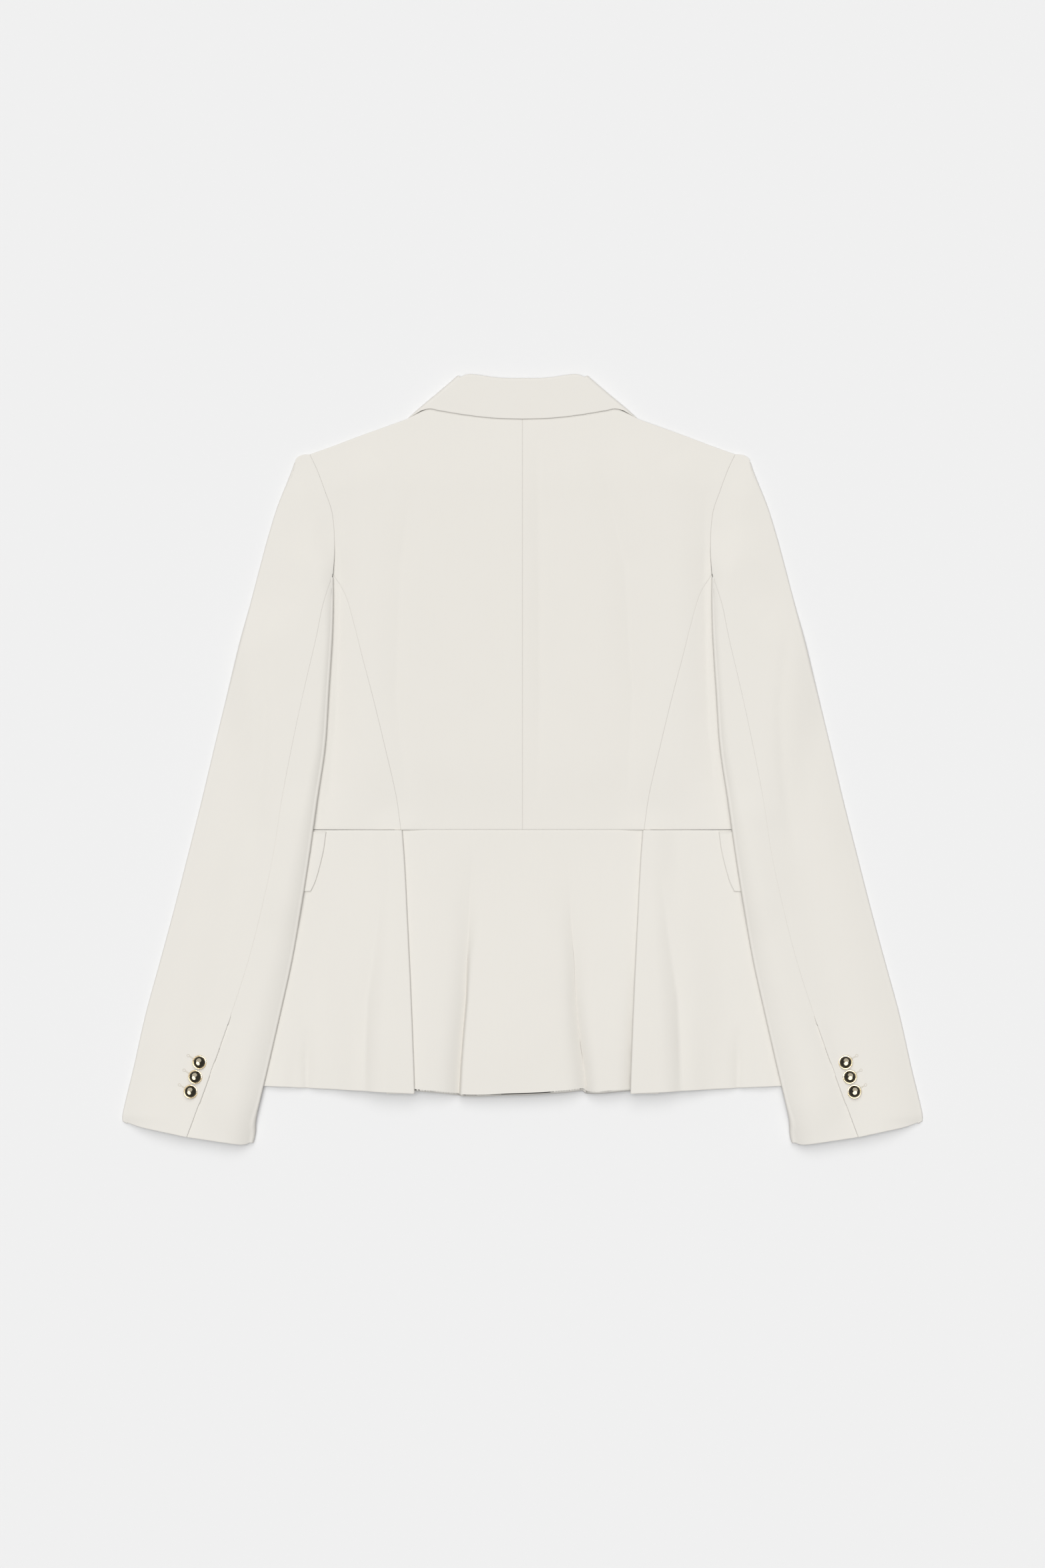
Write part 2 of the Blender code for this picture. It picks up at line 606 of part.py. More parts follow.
def collar(finish):
    """Fall and stand in one: the fall outside, a half turn at the roll line, the stand inside."""
    right = collar_half()
    left = right[:, ::-1] * np.array([-1.0, 1.0, 1.0])
    middle = np.concatenate([left, right[:, 1:]], axis=1)
    normals = sheet_normals(middle)
    fall = middle + normals * LAYER / 2
    across = middle[-1] - middle[-2]
    outward = across / np.linalg.norm(across, axis=1)[:, None]
    turn = [middle[-1] + normals[-1] * (LAYER / 2 * math.cos(angle)) + outward * (LAYER / 2 * math.sin(angle))
            for angle in np.linspace(0, math.pi, 4)[1:-1]]
    columns = middle.shape[1]
    from_centre = np.abs(np.linspace(-1, 1, columns))
    share = np.interp(from_centre, [row.along for row in STAND], [row.share for row in STAND])
    stand = []
    for step in range(3):
        place = (len(middle) - 1) * (1 - share * step / 2)
        low_row = np.clip(np.floor(place).astype(int), 0, len(middle) - 2)
        part = (place - low_row)[:, None]
        column_at = np.arange(columns)
        base = middle[low_row, column_at] * (1 - part) + middle[low_row + 1, column_at] * part
        facing = normals[low_row, column_at] * (1 - part) + normals[low_row + 1, column_at] * part
        stand.append(base - facing * LAYER / 2)
    sheet = np.concatenate([fall, np.stack(turn), np.stack(stand)], axis=0)
    cloth("collar", sheet, finish)


def upper_sleeve(side, finish):
    """From armhole and hind seam, round the outer edge, and under to the seam beneath."""
    high, low = for_side(upper_sleeve_height, side), for_side(sleeve_low_height, side)
    armhole = smooth_curve(points(*ARMHOLE), ARMHOLE_ROWS)
    hind = smooth_curve(points(*(column(SLEEVE, "hind", CUFF_HIND) + [UNDER_SLEEVE_TOP[1]])), SLEEVE_ROWS)
    inner = chain(hind, armhole)
    outer = smooth_curve(points(*(column(SLEEVE, "outer", CUFF_OUTER) + list(SLEEVE_HEAD[::-1]) + [HEAD_TOP[-1]])),
                         len(inner) - 1)
    edge = fold_inset(outer, 1, high, low)
    head = smooth_curve(np.vstack([points(*HEAD_TOP[:-1]), edge[-1]]), SLEEVE_COLUMNS)
    cuff = smooth_curve(np.vstack([inner[0], points(CUFF_BOW_UPPER), edge[0]]), SLEEVE_COLUMNS)
    over = lifted(coons(cuff, head, inner, edge), high)
    fore = smooth_curve(points(*(column(SLEEVE, "fore", CUFF_FORE) + [FORE_TOP])), SLEEVE_ROWS)
    beneath = chain(fore, armhole)
    head_under = smooth_curve(np.vstack([edge[-1], points(*HEAD_TOP[:-1][::-1])]), SLEEVE_COLUMNS)
    cuff_under = smooth_curve(np.vstack([edge[0], beneath[0]]), SLEEVE_COLUMNS)
    under = lifted(coons(cuff_under, head_under, edge, beneath), low)
    sheet = np.concatenate([over, bend(edge, 1, high, low, BEND_STEPS), under], axis=1)
    cloth(named("sleeve_upper", side), placed(inset(sheet), side), finish)


def under_sleeve(side, finish):
    """From the hind seam, round the inner edge, and under to the seam beneath."""
    high, low = for_side(under_sleeve_height, side), for_side(sleeve_low_height, side)
    hind = smooth_curve(points(*(column(SLEEVE, "hind", CUFF_HIND) + [UNDER_SLEEVE_TOP[1]])), SLEEVE_ROWS)
    inner = smooth_curve(points(*(column(SLEEVE, "inner", CUFF_INNER) + [UNDER_SLEEVE_TOP[0]])), SLEEVE_ROWS)
    edge = fold_inset(inner, -1, high, low)
    top = smooth_curve(np.vstack([hind[-1], edge[-1]]), UNDER_SLEEVE_COLUMNS)
    cuff = smooth_curve(np.vstack([hind[0], points(CUFF_BOW_UNDER), edge[0]]), UNDER_SLEEVE_COLUMNS)
    over = lifted(coons(cuff, top, hind, edge), high)
    fore = smooth_curve(points(*(column(SLEEVE, "fore", CUFF_FORE) + [FORE_TOP])), SLEEVE_ROWS)
    top_under = smooth_curve(np.vstack([edge[-1], fore[-1]]), UNDER_SLEEVE_COLUMNS)
    cuff_under = smooth_curve(np.vstack([edge[0], fore[0]]), UNDER_SLEEVE_COLUMNS)
    under = lifted(coons(cuff_under, top_under, edge, fore), low)
    sheet = np.concatenate([over, bend(edge, -1, high, low, BEND_STEPS), under], axis=1)
    cloth(named("sleeve_under", side), placed(inset(sheet), side), finish)


def peplum_back(finish):
    """The centre panel, with an underlay that runs under each pleat."""
    rows = PEPLUM_ROWS
    wide = smooth_curve(points(*PLEAT_INSIDE), rows)
    half_hem = points(*HEM_CENTRE)
    wide[0, 1] = half_hem[-1, 1]
    half = smooth_curve(np.vstack([half_hem, wide[0]]), 11)
    hem = np.vstack([(half * np.array([-1.0, 1.0]))[::-1], half[1:]])
    waist = smooth_curve(np.vstack([wide[-1] * np.array([-1.0, 1.0]), wide[-1]]), len(hem) - 1)
    left = wide * np.array([-1.0, 1.0])
    cloth("peplum_back", inset(lifted(coons(hem, waist, left, wide), peplum_back_height)), finish)


def peplum_side(side, finish):
    """Turned-under pleat, top layer, round the side, and under to the front seam."""
    rows = PEPLUM_ROWS
    back, high, low = (for_side(height, side) for height in (return_height, peplum_side_height, front_height))
    pleat_line = smooth_curve(points(*column(PEPLUM, "pleat")), rows)
    pleat = fold_inset(pleat_line, -1, back, high)
    depth_line = smooth_curve(points(*PLEAT_INSIDE), rows)
    side_line = smooth_curve(points(*column(PEPLUM, "side")), rows)
    side_line[:, 1] += np.linspace(HEM_RISE_SIDE * MM, 0, rows + 1)
    edge = fold_inset(side_line, 1, high, low)
    seam = smooth_curve(points(*column(PEPLUM, "front_seam")), rows)
    seam[:, 1] += np.linspace(HEM_RISE_SIDE * MM / 2, 0, rows + 1)
    turned = lifted(coons(*(smooth_curve(np.vstack([depth_line[i], pleat[i]]), 2) for i in (0, -1)),
                          depth_line, pleat), back)
    over = lifted(coons(*(smooth_curve(np.vstack([pleat[i], edge[i]]), 11) for i in (0, -1)), pleat, edge), high)
    under = lifted(coons(*(smooth_curve(np.vstack([edge[i], seam[i]]), 4) for i in (0, -1)), edge, seam), low)
    sheet = np.concatenate([turned, bend(pleat, -1, back, high, BEND_STEPS), over,
                            bend(edge, 1, high, low, BEND_STEPS), under], axis=1)
    cloth(named("peplum_side", side), placed(inset(sheet), side), finish)


def peplum_front(side, finish):
    rows = 8
    low = for_side(front_height, side)
    seam = smooth_curve(points(*column(PEPLUM, "front_seam")), rows)
    seam[:, 1] += np.linspace(HEM_RISE_SIDE * MM / 2, 0, rows + 1)
    centre = smooth_curve(points(HEM_CENTRE[0], (0.0, PEPLUM[0].height)), rows)
    hem = smooth_curve(np.vstack([centre[0], seam[0]]), 8)
    waist = smooth_curve(np.vstack([centre[-1], seam[-1]]), 8)
    cloth(named("peplum_front", side), placed(inset(lifted(coons(hem, waist, centre, seam), low)), side), finish)


def pocket_flap(side, finish):
    """The flap lies on the peplum side, a layer out from it, and turns the side with it."""
    rows = 5
    high, low = for_side(flap_height, side), on_table
    rear = smooth_curve(points(*FLAP_REAR[::-1]), rows)
    front = smooth_curve(points(*FLAP_FRONT[::-1]), rows)
    side_line = smooth_curve(points(*FLAP_SIDE), rows)
    inner_side = fold_inset(side_line, 1, for_side(peplum_side_height, side), for_side(front_height, side))
    over = lifted(coons(*(smooth_curve(np.vstack([rear[i], inner_side[i]]), 3) for i in (0, -1)), rear, inner_side),
                  high)
    under = lifted(coons(*(smooth_curve(np.vstack([inner_side[i], front[i]]), 8) for i in (0, -1)),
                         inner_side, front), low)
    sheet = np.concatenate([over, bend(inner_side, 1, high, low, BEND_STEPS), under], axis=1)
    cloth(named("pocket_flap", side), placed(inset(sheet), side), finish)


def cuff_button(side, number, centre, finish):
    """A domed shank button: shank, rim and dome turned about its own axis."""
    plan = on_side(points(centre), side)
    base = float(upper_sleeve_height(plan)[0]) + CLOTH / 2 + SEAM
    radius = BUTTON_DIAMETER / 2
    profile = [(0.0, 0.0), (BUTTON_SHANK_DIAMETER / 2, 0.0), (BUTTON_SHANK_DIAMETER / 2, BUTTON_SHANK),
               (radius, BUTTON_SHANK), (radius, BUTTON_SHANK + BUTTON_RIM)]
    for angle in np.linspace(0, math.pi / 2, 4):
        profile.append(((radius - BUTTON_RIM / 2) * math.cos(angle),
                        BUTTON_SHANK + BUTTON_RIM + BUTTON_DOME * math.sin(angle)))
    profile[-1] = (0.0, BUTTON_SHANK + BUTTON_RIM + BUTTON_DOME)
    mesh = bmesh.new()
    outline = [mesh.verts.new((distance, 0.0, height)) for distance, height in profile]
    edges = [mesh.edges.new(pair) for pair in zip(outline, outline[1:])]
    bmesh.ops.spin(mesh, geom=outline + edges, cent=(0, 0, 0), axis=(0, 0, 1), angle=2 * math.pi, steps=14)
    bmesh.ops.remove_doubles(mesh, verts=mesh.verts, dist=0.01 * MM)
    made = finished(f"{named('cuff_button', side)}_{number}", mesh, finish)
    made.location = (plan[0, 0], plan[0, 1], base)


def main():
    for old in list(bpy.data.objects):
        bpy.data.objects.remove(old, do_unlink=True)
    cream = material("cream_cloth", CREAM, 0.85)
    gold = material("gold_metal", GOLD, 0.18, metallic=1.0)
    for side in (1, -1):
        for piece in (body_back, body_side, body_front, lapel, upper_sleeve, under_sleeve,
                      peplum_side, peplum_front, pocket_flap):
            piece(side, cream)
        for number, centre in enumerate(BUTTONS, start=1):
            cuff_button(side, number, centre, gold)
    peplum_back(cream)
    collar(cream)


main()
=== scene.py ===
"""Looks of a cream peplum jacket laid on its front, seen from straight above.

Metres, in the solids' own frame: X across with the wearer's right at +X, Y up the body, Z up from
the table. Outlines are tables in millimetres, as half widths from the centre back.
"""

import math
from collections import namedtuple

import bpy
import numpy as np
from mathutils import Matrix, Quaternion, Vector


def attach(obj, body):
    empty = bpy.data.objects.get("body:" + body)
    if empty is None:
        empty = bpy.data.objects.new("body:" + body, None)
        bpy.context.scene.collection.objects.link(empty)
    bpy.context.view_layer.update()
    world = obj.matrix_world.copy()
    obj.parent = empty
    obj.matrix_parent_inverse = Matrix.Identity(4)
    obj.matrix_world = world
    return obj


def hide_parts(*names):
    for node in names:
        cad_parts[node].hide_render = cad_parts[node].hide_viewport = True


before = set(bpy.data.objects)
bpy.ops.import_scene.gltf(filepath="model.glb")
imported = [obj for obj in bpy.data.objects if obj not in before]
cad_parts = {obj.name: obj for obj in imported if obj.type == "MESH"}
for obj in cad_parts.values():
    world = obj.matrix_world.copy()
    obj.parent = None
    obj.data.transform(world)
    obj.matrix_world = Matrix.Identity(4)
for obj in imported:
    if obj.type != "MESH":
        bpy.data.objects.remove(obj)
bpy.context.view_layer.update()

MM = 0.001
SCENE = bpy.context.scene.collection

# The photograph's height and the jacket's centre on it, in its pixels, and how much a pixel shows
PHOTO_HEIGHT = 2352
PIXEL = 0.61 * MM
CENTRE_ROW = 1138.5
LENS, SENSOR = 85, 36

# Cloth and how it lies
CLOTH = 1.4 * MM
LAY = 0.4 * MM
LAYER = CLOTH + LAY
TURN = LAYER / 2 + CLOTH / 2
SEAM = 0.03 * MM
REST = CLOTH / 2
CROWN = 3 * MM
HEM_FLARE = 9 * MM
VENT_LIFT = 0.8 * MM
VENT_TUCK = 0.7 * MM

# How a wall of cloth ends: a rounded free edge, or a seam with a tighter round and a dip beside it
EDGE_ROUND = 0.75 * MM
SEAM_ROUND = 0.12 * MM
SEAM_FAINT = 0.3
EDGE_THIN = 0.16
SEAM_DIP = 0.26 * MM
SEAM_SOFT = 1 * MM
EDGE_STEPS = (0, 0.06 * MM, 0.2 * MM, 0.6 * MM, 1.2 * MM, 2.1 * MM)

# How clearly each kind of seam shows
WAIST_SEAM = 1.2
ARMHOLE_SEAM = 0.36
SLEEVE_SEAM = 0.2
HIND_SEAM_FADE = ((30, 0.02), (110, 0.2))
CENTRE_SEAM = 0.3
CURVED_SEAM = 0.25

# Spacing of the points on cloth that shows and on cloth that is hidden
FINE = 2.4 * MM
COARSE = 6 * MM
COLLAR_FINE = 0.7 * FINE
BEND_STEPS = 12
ROLL_STEPS = 9
CURVE_STEPS = 24
STRAIGHT_POINTS = 49


def rows_of(kind, *rows):
    """A table's rows as named records."""
    return tuple(kind(*row) for row in rows)


# Body, waist up: the curved back seam and the folded side, hidden by the sleeve
Body = namedtuple("Body", "height back_seam side front_seam")
BODY = rows_of(
    Body, (-64.8, 111, 197, 148), (-31, 116, 202, 152), (11, 125.6, 211, 162), (54, 136, 221.5, 174),
    (93.6, 146.4, 229.4, 182))
WAIST = BODY[0].height
BACK_SEAM_TOP = ((153.3, 121), (161.9, 150), (173.2, 168.7))
ARMHOLE = ((173.2, 168.7), (171.8, 194), (173.8, 223.6), (180.6, 244.9), (187.9, 264.4), (194.6, 278.5))
UNDERARM_CURVE = ((173.2, 168.7), (178, 148.5), (186.7, 127.2), (203.7, 107.7), (229.4, 93.6))
FRONT_SEAM_TOP = (186.7, 127.2)
BACK_NECK = ((0, 317.5), (26.8, 318), (51.2, 319.6), (82, 322.4))
SHOULDER = ((82, 322.4), (94.5, 316.6), (100, 313.8), (104.9, 311), (112.2, 308.2), (124.4, 303.8),
            (148.8, 295.2), (173.2, 286.1), (194.6, 278.5))

# Peplum: its pleat, its folded side, the seam to the front, and how deep the pleat is
Peplum = namedtuple("Peplum", "height pleat side front_seam depth")
PEPLUM = rows_of(
    Peplum, (-64.8, 109.8, 197, 148, 7), (-98.5, 107.4, 202.5, 152, 9), (-147.3, 104.9, 212.3, 158, 13),
    (-208, 101.9, 226.4, 166, 18), (-269, 99.4, 240, 174, 23), (-305, 98.2, 247.5, 178, 26))
HEM_RISE_SIDE = 7
HEM_BACK = ((-98.2, -299.9), (-90.3, -300.6), (-75.6, -301.8), (-61, -304), (-53.4, -304.9), (-39, -304.8),
            (-17, -303.8), (5, -303.2), (26.8, -301.8), (48.8, -299.9), (55, -299.5), (58.5, -302),
            (70.8, -301.8), (85.4, -300.2), (98.2, -299.4))
HEM_FRONT = ((0, -296.5), (105, -297.5))

# Fronts: the roll line from neck to break point, and the lapel's width on it
NECK_CORNER = (59.8, 349.2)
BREAK = (0, 20)
GORGE_HEIGHT = 277
NECKLINE = ((61, 285), (72, 303), (82, 322.4))
LAPEL_TOP = 281
Lapel = namedtuple("Lapel", "height width")
LAPEL = rows_of(Lapel, (27, 4), (70, 26), (120, 44), (170, 57), (225, 68), (254, 66))

# Collar: the roll line, the lower edge of the fall, the slanted fold at the neck and the front end
COLLAR_ROLL = ((0, 348), (14.6, 348), (26.8, 348.9), (39, 350.8), (50, 351.8), (59.8, 349.2))
COLLAR_FALL = ((0, 310.4), (26.8, 311.4), (51.2, 314.1), (75.6, 318.1), (84.5, 319.8))
COLLAR_FOLD = ((104.4, 311.8), (94.4, 320.8), (77.6, 334.6), (59.8, 349.2))
COLLAR_WRAP = 0.23
COLLAR_END = ((103, 272), (48, 283))
COLLAR_CORNER = np.array([0.1, 0.9]) * MM
Stand = namedtuple("Stand", "along share")
STAND = rows_of(Stand, (0, 0.75), (0.45, 0.72), (0.62, 0.5), (1, 0.07))
END_EASE = 4

# Sleeve: inner edge, hind seam, outer edge and the seam underneath
Sleeve = namedtuple("Sleeve", "height inner hind outer fore")
SLEEVE = rows_of(
    Sleeve, (140, 172.8, 182.3, 249.5, 189), (109, 173.8, 188.6, 258, 198), (60, 176.9, 200, 270, 205),
    (11, 180.2, 210.4, 281.9, 209), (-37.5, 187.3, 219.5, 293.4, 215), (-86, 194.1, 226.9, 305.6, 221),
    (-135, 201.9, 237.3, 318.1, 228), (-184, 210.5, 249.9, 331.3, 236), (-233, 221.3, 265.7, 344.7, 245),
    (-281.5, 232.4, 283, 355.6, 255), (-326, 242.8, 299.2, 366, 264.5))
SLEEVE_HEAD = ((209.8, 267.5), (214.4, 255.3), (224.2, 230.9), (231.8, 206.5), (238.5, 182.1))
HEAD_TOP = ((194.6, 278.5), (200.6, 278.2), (205, 276.4), (207.6, 273.6), (208.9, 271))
CUFF_OUTER = (362.8, -333.4)
CUFF_HIND = (306.2, -345)
CUFF_FORE = (268.5, -342.5)
CUFF_INNER = (246.2, -351.2)
CUFF_TURN = (244.1, -341.5)
CUFF_BOW_UPPER = ((330, -340), (348, -336.4))
CUFF_BOW_UNDER = ((272, -350), (256, -352.2))
UNDER_SLEEVE_TOP = ((172.9, 166), (173.9, 167.6))
FORE_TOP = (175.6, 166.6)

# Pocket flap, from its rear edge beside the sleeve to its front edge underneath
FLAP_REAR = ((179.4, -66.4), (182.4, -86.3), (188.5, -109.5), (193.5, -121))
FLAP_FRONT = ((92, -66.4), (90, -86), (91, -109), (96, -121))
FLAP_SIDE = ((207.4, -121), (202.5, -98.5), (197.5, -66.4))

# Soft crests of the top layer from start to end, with their width on either side (towards +X and
# -X for an upright crest) and their height at both ends: a fan and a corner at the hem, and a forearm
Fold = namedtuple("Fold", "x_start y_start x_end y_end right left height_start height_end")
PEPLUM_SIDE_FOLDS = rows_of(
    Fold, (134, -90, 196, -320, 16, 16, 0.4, 1.8), (209, -225, 224, -320, 10, 8, 0.2, 1.8))
SLEEVE_FOLDS = rows_of(Fold, (268, -20, 318, -250, 16, 16, 0.5, 0.3))
FOLD_FADE = 28

# Hollows between folds: where the bottom runs, how far it reaches towards -X and +X, and its depth
Hollow = namedtuple("Hollow", "x height left right depth")
HOLLOW_ROUND = 0.3 * MM
BESIDE_CENTRE = rows_of(
    Hollow, (14, 305, 20, 40, 0), (14, 268, 21, 44, 1.5), (15, 225, 22, 48, 2.5), (16, 60, 22, 50, 2.6),
    (15, 5, 22, 48, 1.5), (14, -45, 20, 44, 0))
RIGHT_BLADE = rows_of(
    Hollow, (70, 275, 20, 24, 0), (80, 235, 22, 24, 1.8), (94, 180, 24, 24, 2.6), (101, 60, 26, 22, 2.7),
    (98, 5, 26, 22, 1.6), (95, -45, 26, 22, 0))
LEFT_BLADE = rows_of(
    Hollow, (-102, 250, 22, 18, 0), (-111, 180, 22, 18, 1.6), (-115, 60, 22, 20, 2.2),
    (-109, 0, 22, 20, 1.3), (-104, -45, 22, 20, 0))
UNDERARM = rows_of(
    Hollow, (168, 250, 26, 20, 0), (167, 175, 24, 20, 2.8), (168, 120, 26, 20, 3.4),
    (170, 40, 28, 20, 3.4), (176, -20, 28, 20, 2.4), (182, -62, 26, 20, 0))
BODY_HOLLOWS = (BESIDE_CENTRE, RIGHT_BLADE, LEFT_BLADE)
LEFT_FOLD = rows_of(
    Hollow, (-46, -90, 26, 26, 0), (-48, -117, 22, 18, 1), (-48.8, -147, 20, 12, 2.4),
    (-50, -184, 19, 4.5, 4.2), (-51.2, -220.5, 20, 2.6, 5.4), (-54.3, -257, 21, 2.2, 6),
    (-56.1, -281.5, 21, 2.2, 6.4), (-57.5, -309, 21, 2.2, 6.4))
LEFT_SLOPE = rows_of(
    Hollow, (-46, -78, 34, 30, 0), (-48, -117, 40, 30, 1.6), (-48.8, -147, 42, 34, 2.5),
    (-50, -184, 42, 36, 3.3), (-51.2, -220.5, 40, 38, 3.8), (-54.3, -257, 38, 38, 4.1),
    (-56.1, -281.5, 36, 38, 4.2), (-57.5, -309, 36, 38, 4.2))
RIGHT_FOLD = rows_of(
    Hollow, (42, -110, 14, 20, 0), (43.3, -130, 14, 20, 0.6), (45.1, -159.5, 13, 18, 2.2),
    (47.6, -190, 13, 14, 3.4), (48.8, -220.5, 14, 12, 4.4), (52.5, -257, 16, 12, 5.2),
    (56.1, -281.5, 17, 12, 5.8), (58.6, -306, 17, 12, 5.8))
RIGHT_SLOPE = rows_of(
    Hollow, (40, -84, 24, 28, 0), (43.3, -123, 24, 30, 1.3), (45.1, -159.5, 26, 32, 2.2),
    (47.6, -190, 28, 34, 2.8), (48.8, -220.5, 30, 34, 3.3), (52.5, -257, 30, 34, 3.5),
    (56.1, -281.5, 30, 34, 3.7), (58.6, -306, 30, 34, 3.7))
FOLD_STEPS = (0.3, 0.7, 1.2, 1.9, 2.8, 4.2)
BESIDE_PLEAT = rows_of(
    Hollow, (104.5, -130, 12, 7, 0), (103, -190, 14, 7, 2), (101.6, -235, 16, 7, 3.8),
    (100.6, -275, 17, 7, 5.6), (100, -306, 17, 7, 6.2))
PEPLUM_BACK_HOLLOWS = (LEFT_FOLD, LEFT_SLOPE, RIGHT_FOLD, RIGHT_SLOPE)
PLEAT_HOLLOWS = (BESIDE_PLEAT,)
SIDE_TROUGH = rows_of(
    Hollow, (124, -95, 15, 15, 0), (133, -159, 17, 15, 1.7), (142, -220, 18, 16, 3),
    (143.5, -257, 18, 16, 3.2), (144, -300, 18, 16, 2.4))
HEM_DIMPLE = rows_of(
    Hollow, (197, -245, 14, 9, 0), (197.5, -275, 14, 9, 2.8), (197, -310, 14, 9, 3.2))
PEPLUM_SIDE_HOLLOWS = (SIDE_TROUGH, HEM_DIMPLE)
ELBOW = rows_of(
    Hollow, (243, 125, 12, 14, 0), (239, 92, 12, 14, 0.9), (235, 48, 12, 14, 1.5), (237, -5, 12, 14, 1.5),
    (243, -55, 13, 14, 0.8), (250, -95, 13, 14, 0))
SLEEVE_HOLLOWS = (ELBOW,)

# How a sleeve rounds over between its edges: the reach of the round at either edge, and its rise
Round = namedtuple("Round", "height inner outer rise")
SLEEVE_ROUND = rows_of(
    Round, (-350, 28, 44, 10.6), (-300, 28, 42, 7.8), (-233, 24, 42, 6.4), (-160, 20, 40, 6.4),
    (-100, 17, 40, 6), (-40, 13, 40, 5.2), (0, 10, 40, 4.4), (60, 8, 38, 3.6), (110, 7, 36, 3.2),
    (150, 10, 34, 3), (180, 24, 30, 3), (240, 20, 22, 2), (281, 12, 12, 0))

# How far a layer stays up past what lies under it, and how far it then takes to come down
Drape = namedtuple("Drape", "margin ramp")
FRONT_DRAPE = Drape(8, 26)
NECK_DRAPE = Drape(12, 44)
SHOULDER_DRAPE = Drape(0, 40)
OVER_FLAP_DRAPE = Drape(8, 40)
PLEAT_DRAPE = Drape(1, 26)
SLEEVE_DRAPE = Drape(8, 26)
SLEEVE_TOP_DRAPE = Drape(8, 52)
SLEEVE_LEVEL_DRAPE = Drape(6, 44)
SEWN_DRAPE = Drape(1, 30)
SEWN_RISE = 44 * MM
WAIST_RISE = 34 * MM
PLEAT_FREE = 12 * MM
CROWN_SIDE = (132 * MM, 46 * MM)
CROWN_ENDS = 70 * MM
FLARE_LENGTH = 215 * MM
FLARE_SIDE = (135 * MM, 52 * MM)

# The vent: where it starts, how soon its edge lifts, and how wide the lifted strip is
VENT_TOP = -225 * MM
VENT_FADE = 20 * MM
VENT_REACH = 8 * MM

# Buttons down the vent, from the top one to the cuff, and how they lean towards the elbow
BUTTONS = ((294.9, -276.9), (298.7, -290.2), (302.9, -303.6))
BUTTON_LEAN = math.radians(13)
BUTTON_HEADING = math.radians(48)
BUTTON_RISE = 0.5 * MM
BUTTON_TURNS = 64
BUTTON_RINGS = 72
Turned = namedtuple("Turned", "radius height")
BUTTON_PROFILE = rows_of(
    Turned, (0, 0), (2.5, 0), (2.5, 1.2), (5.7, 1.25), (6.15, 1.5), (6.35, 1.85), (6.3, 2.2),
    (6.05, 2.42), (5.8, 2.45), (5.62, 2.34), (5.55, 2.55), (5.3, 3.4), (4.7, 4.35), (3.7, 5), (2.5, 5.36),
    (1.25, 5.52), (0, 5.57))
DOME_EDGE = Turned(5.62, 2.3)

# Buttonholes: their direction from the button, in degrees, the sizes of the hole and of the eye at
# its end, how far round the eye goes, and the thread
HOLE_HEADING = 148
HOLE_LENGTH = 11 * MM
HOLE_HALF = 0.375 * MM
HOLE_EYE = 1.15 * MM
EYE_CENTRE = HOLE_LENGTH + 0.92 * MM
EYE_ROUND = 0.9 * math.pi
EYE_STEPS = 33
STITCHES = 30
STITCH_STEPS = 4
THREAD_RADIUS = MM / 3
EYE_RADIUS = 0.3 * MM
THREAD_SIDES = 8
THREAD_FLAT = 0.6

# Colours
CREAM = (0.679, 0.657, 0.612, 1)
CREAM_DEEP = (0.664, 0.642, 0.597, 1)
# Thread tone: partly its own deeper shade, partly painted shade standing for the dark open slit of the
# buttonhole
THREAD_WITH_PAINTED_SLIT_SHADE = (0.5, 0.455, 0.37, 1)
GOLD = (0.78, 0.62, 0.38, 1)
# The dome's near-black gold is painted reflection: polished gold darkened to stand in for the dark room it
# would mirror
DOME_GOLD_PAINTED_REFLECTION = (0.16, 0.142, 0.106, 1)
FLOOR = (0.72, 0.72, 0.72, 1)
FLOOR_REACH = 60

# Patterns: how fine each is, the weight of the stronger of two, and the least and most roughness
GRAIN = 1900.0
SLUB = 420.0
SLUB_STRETCH = (1.0, 0.06, 1.0)
CLOUD = 26.0
TWILL = 520.0
TWILL_ANGLE = math.radians(27)
TWIST = 5200.0
RUB_MARKS = 900.0
MAIN_WEIGHT = 0.6
CLOTH_ROUGH = (0.78, 0.94)
METAL_ROUGH = (0.05, 0.12)
RELIEF = 0.06 * MM

# Soft studio lights: the height above the horizon they come from, their turn away from the collar's
# side, their strength and their breadth in degrees
Light = namedtuple("Light", "name elevation turn strength spread")
LIGHTS = rows_of(Light, ("overhead", 85, 90, 2.147, 34), ("from_collar", 58, 0, 1.225, 46))
AMBIENT = 0.2


def points(*rows):
    """Millimetre rows as an array in metres."""
    return np.array(rows, dtype=float) * MM


def column(table, name, *lowest):
    """One edge of a section table as points, from its lowest section up."""
    return [*lowest, *((getattr(row, name), row.height) for row in sorted(table, key=lambda row: row.height))]


def read_at(y, table, *names):
    """Columns of a table of millimetres, each in metres, at heights in metres."""
    rows = sorted(table, key=lambda row: row.height)
    return [np.interp(y, [row.height * MM for row in rows], [getattr(row, name) * MM for row in rows])
            for name in names]


def run_of(line):
    """Distance along a line at each of its points."""
    return np.concatenate([[0.0], np.cumsum(np.linalg.norm(np.diff(line, axis=0), axis=1))])


def at(line, shares):
    """Points of a line at shares of its length."""
    run = run_of(line)
    return np.column_stack([np.interp(np.asarray(shares) * run[-1], run, line[:, axis])
                            for axis in range(line.shape[1])])


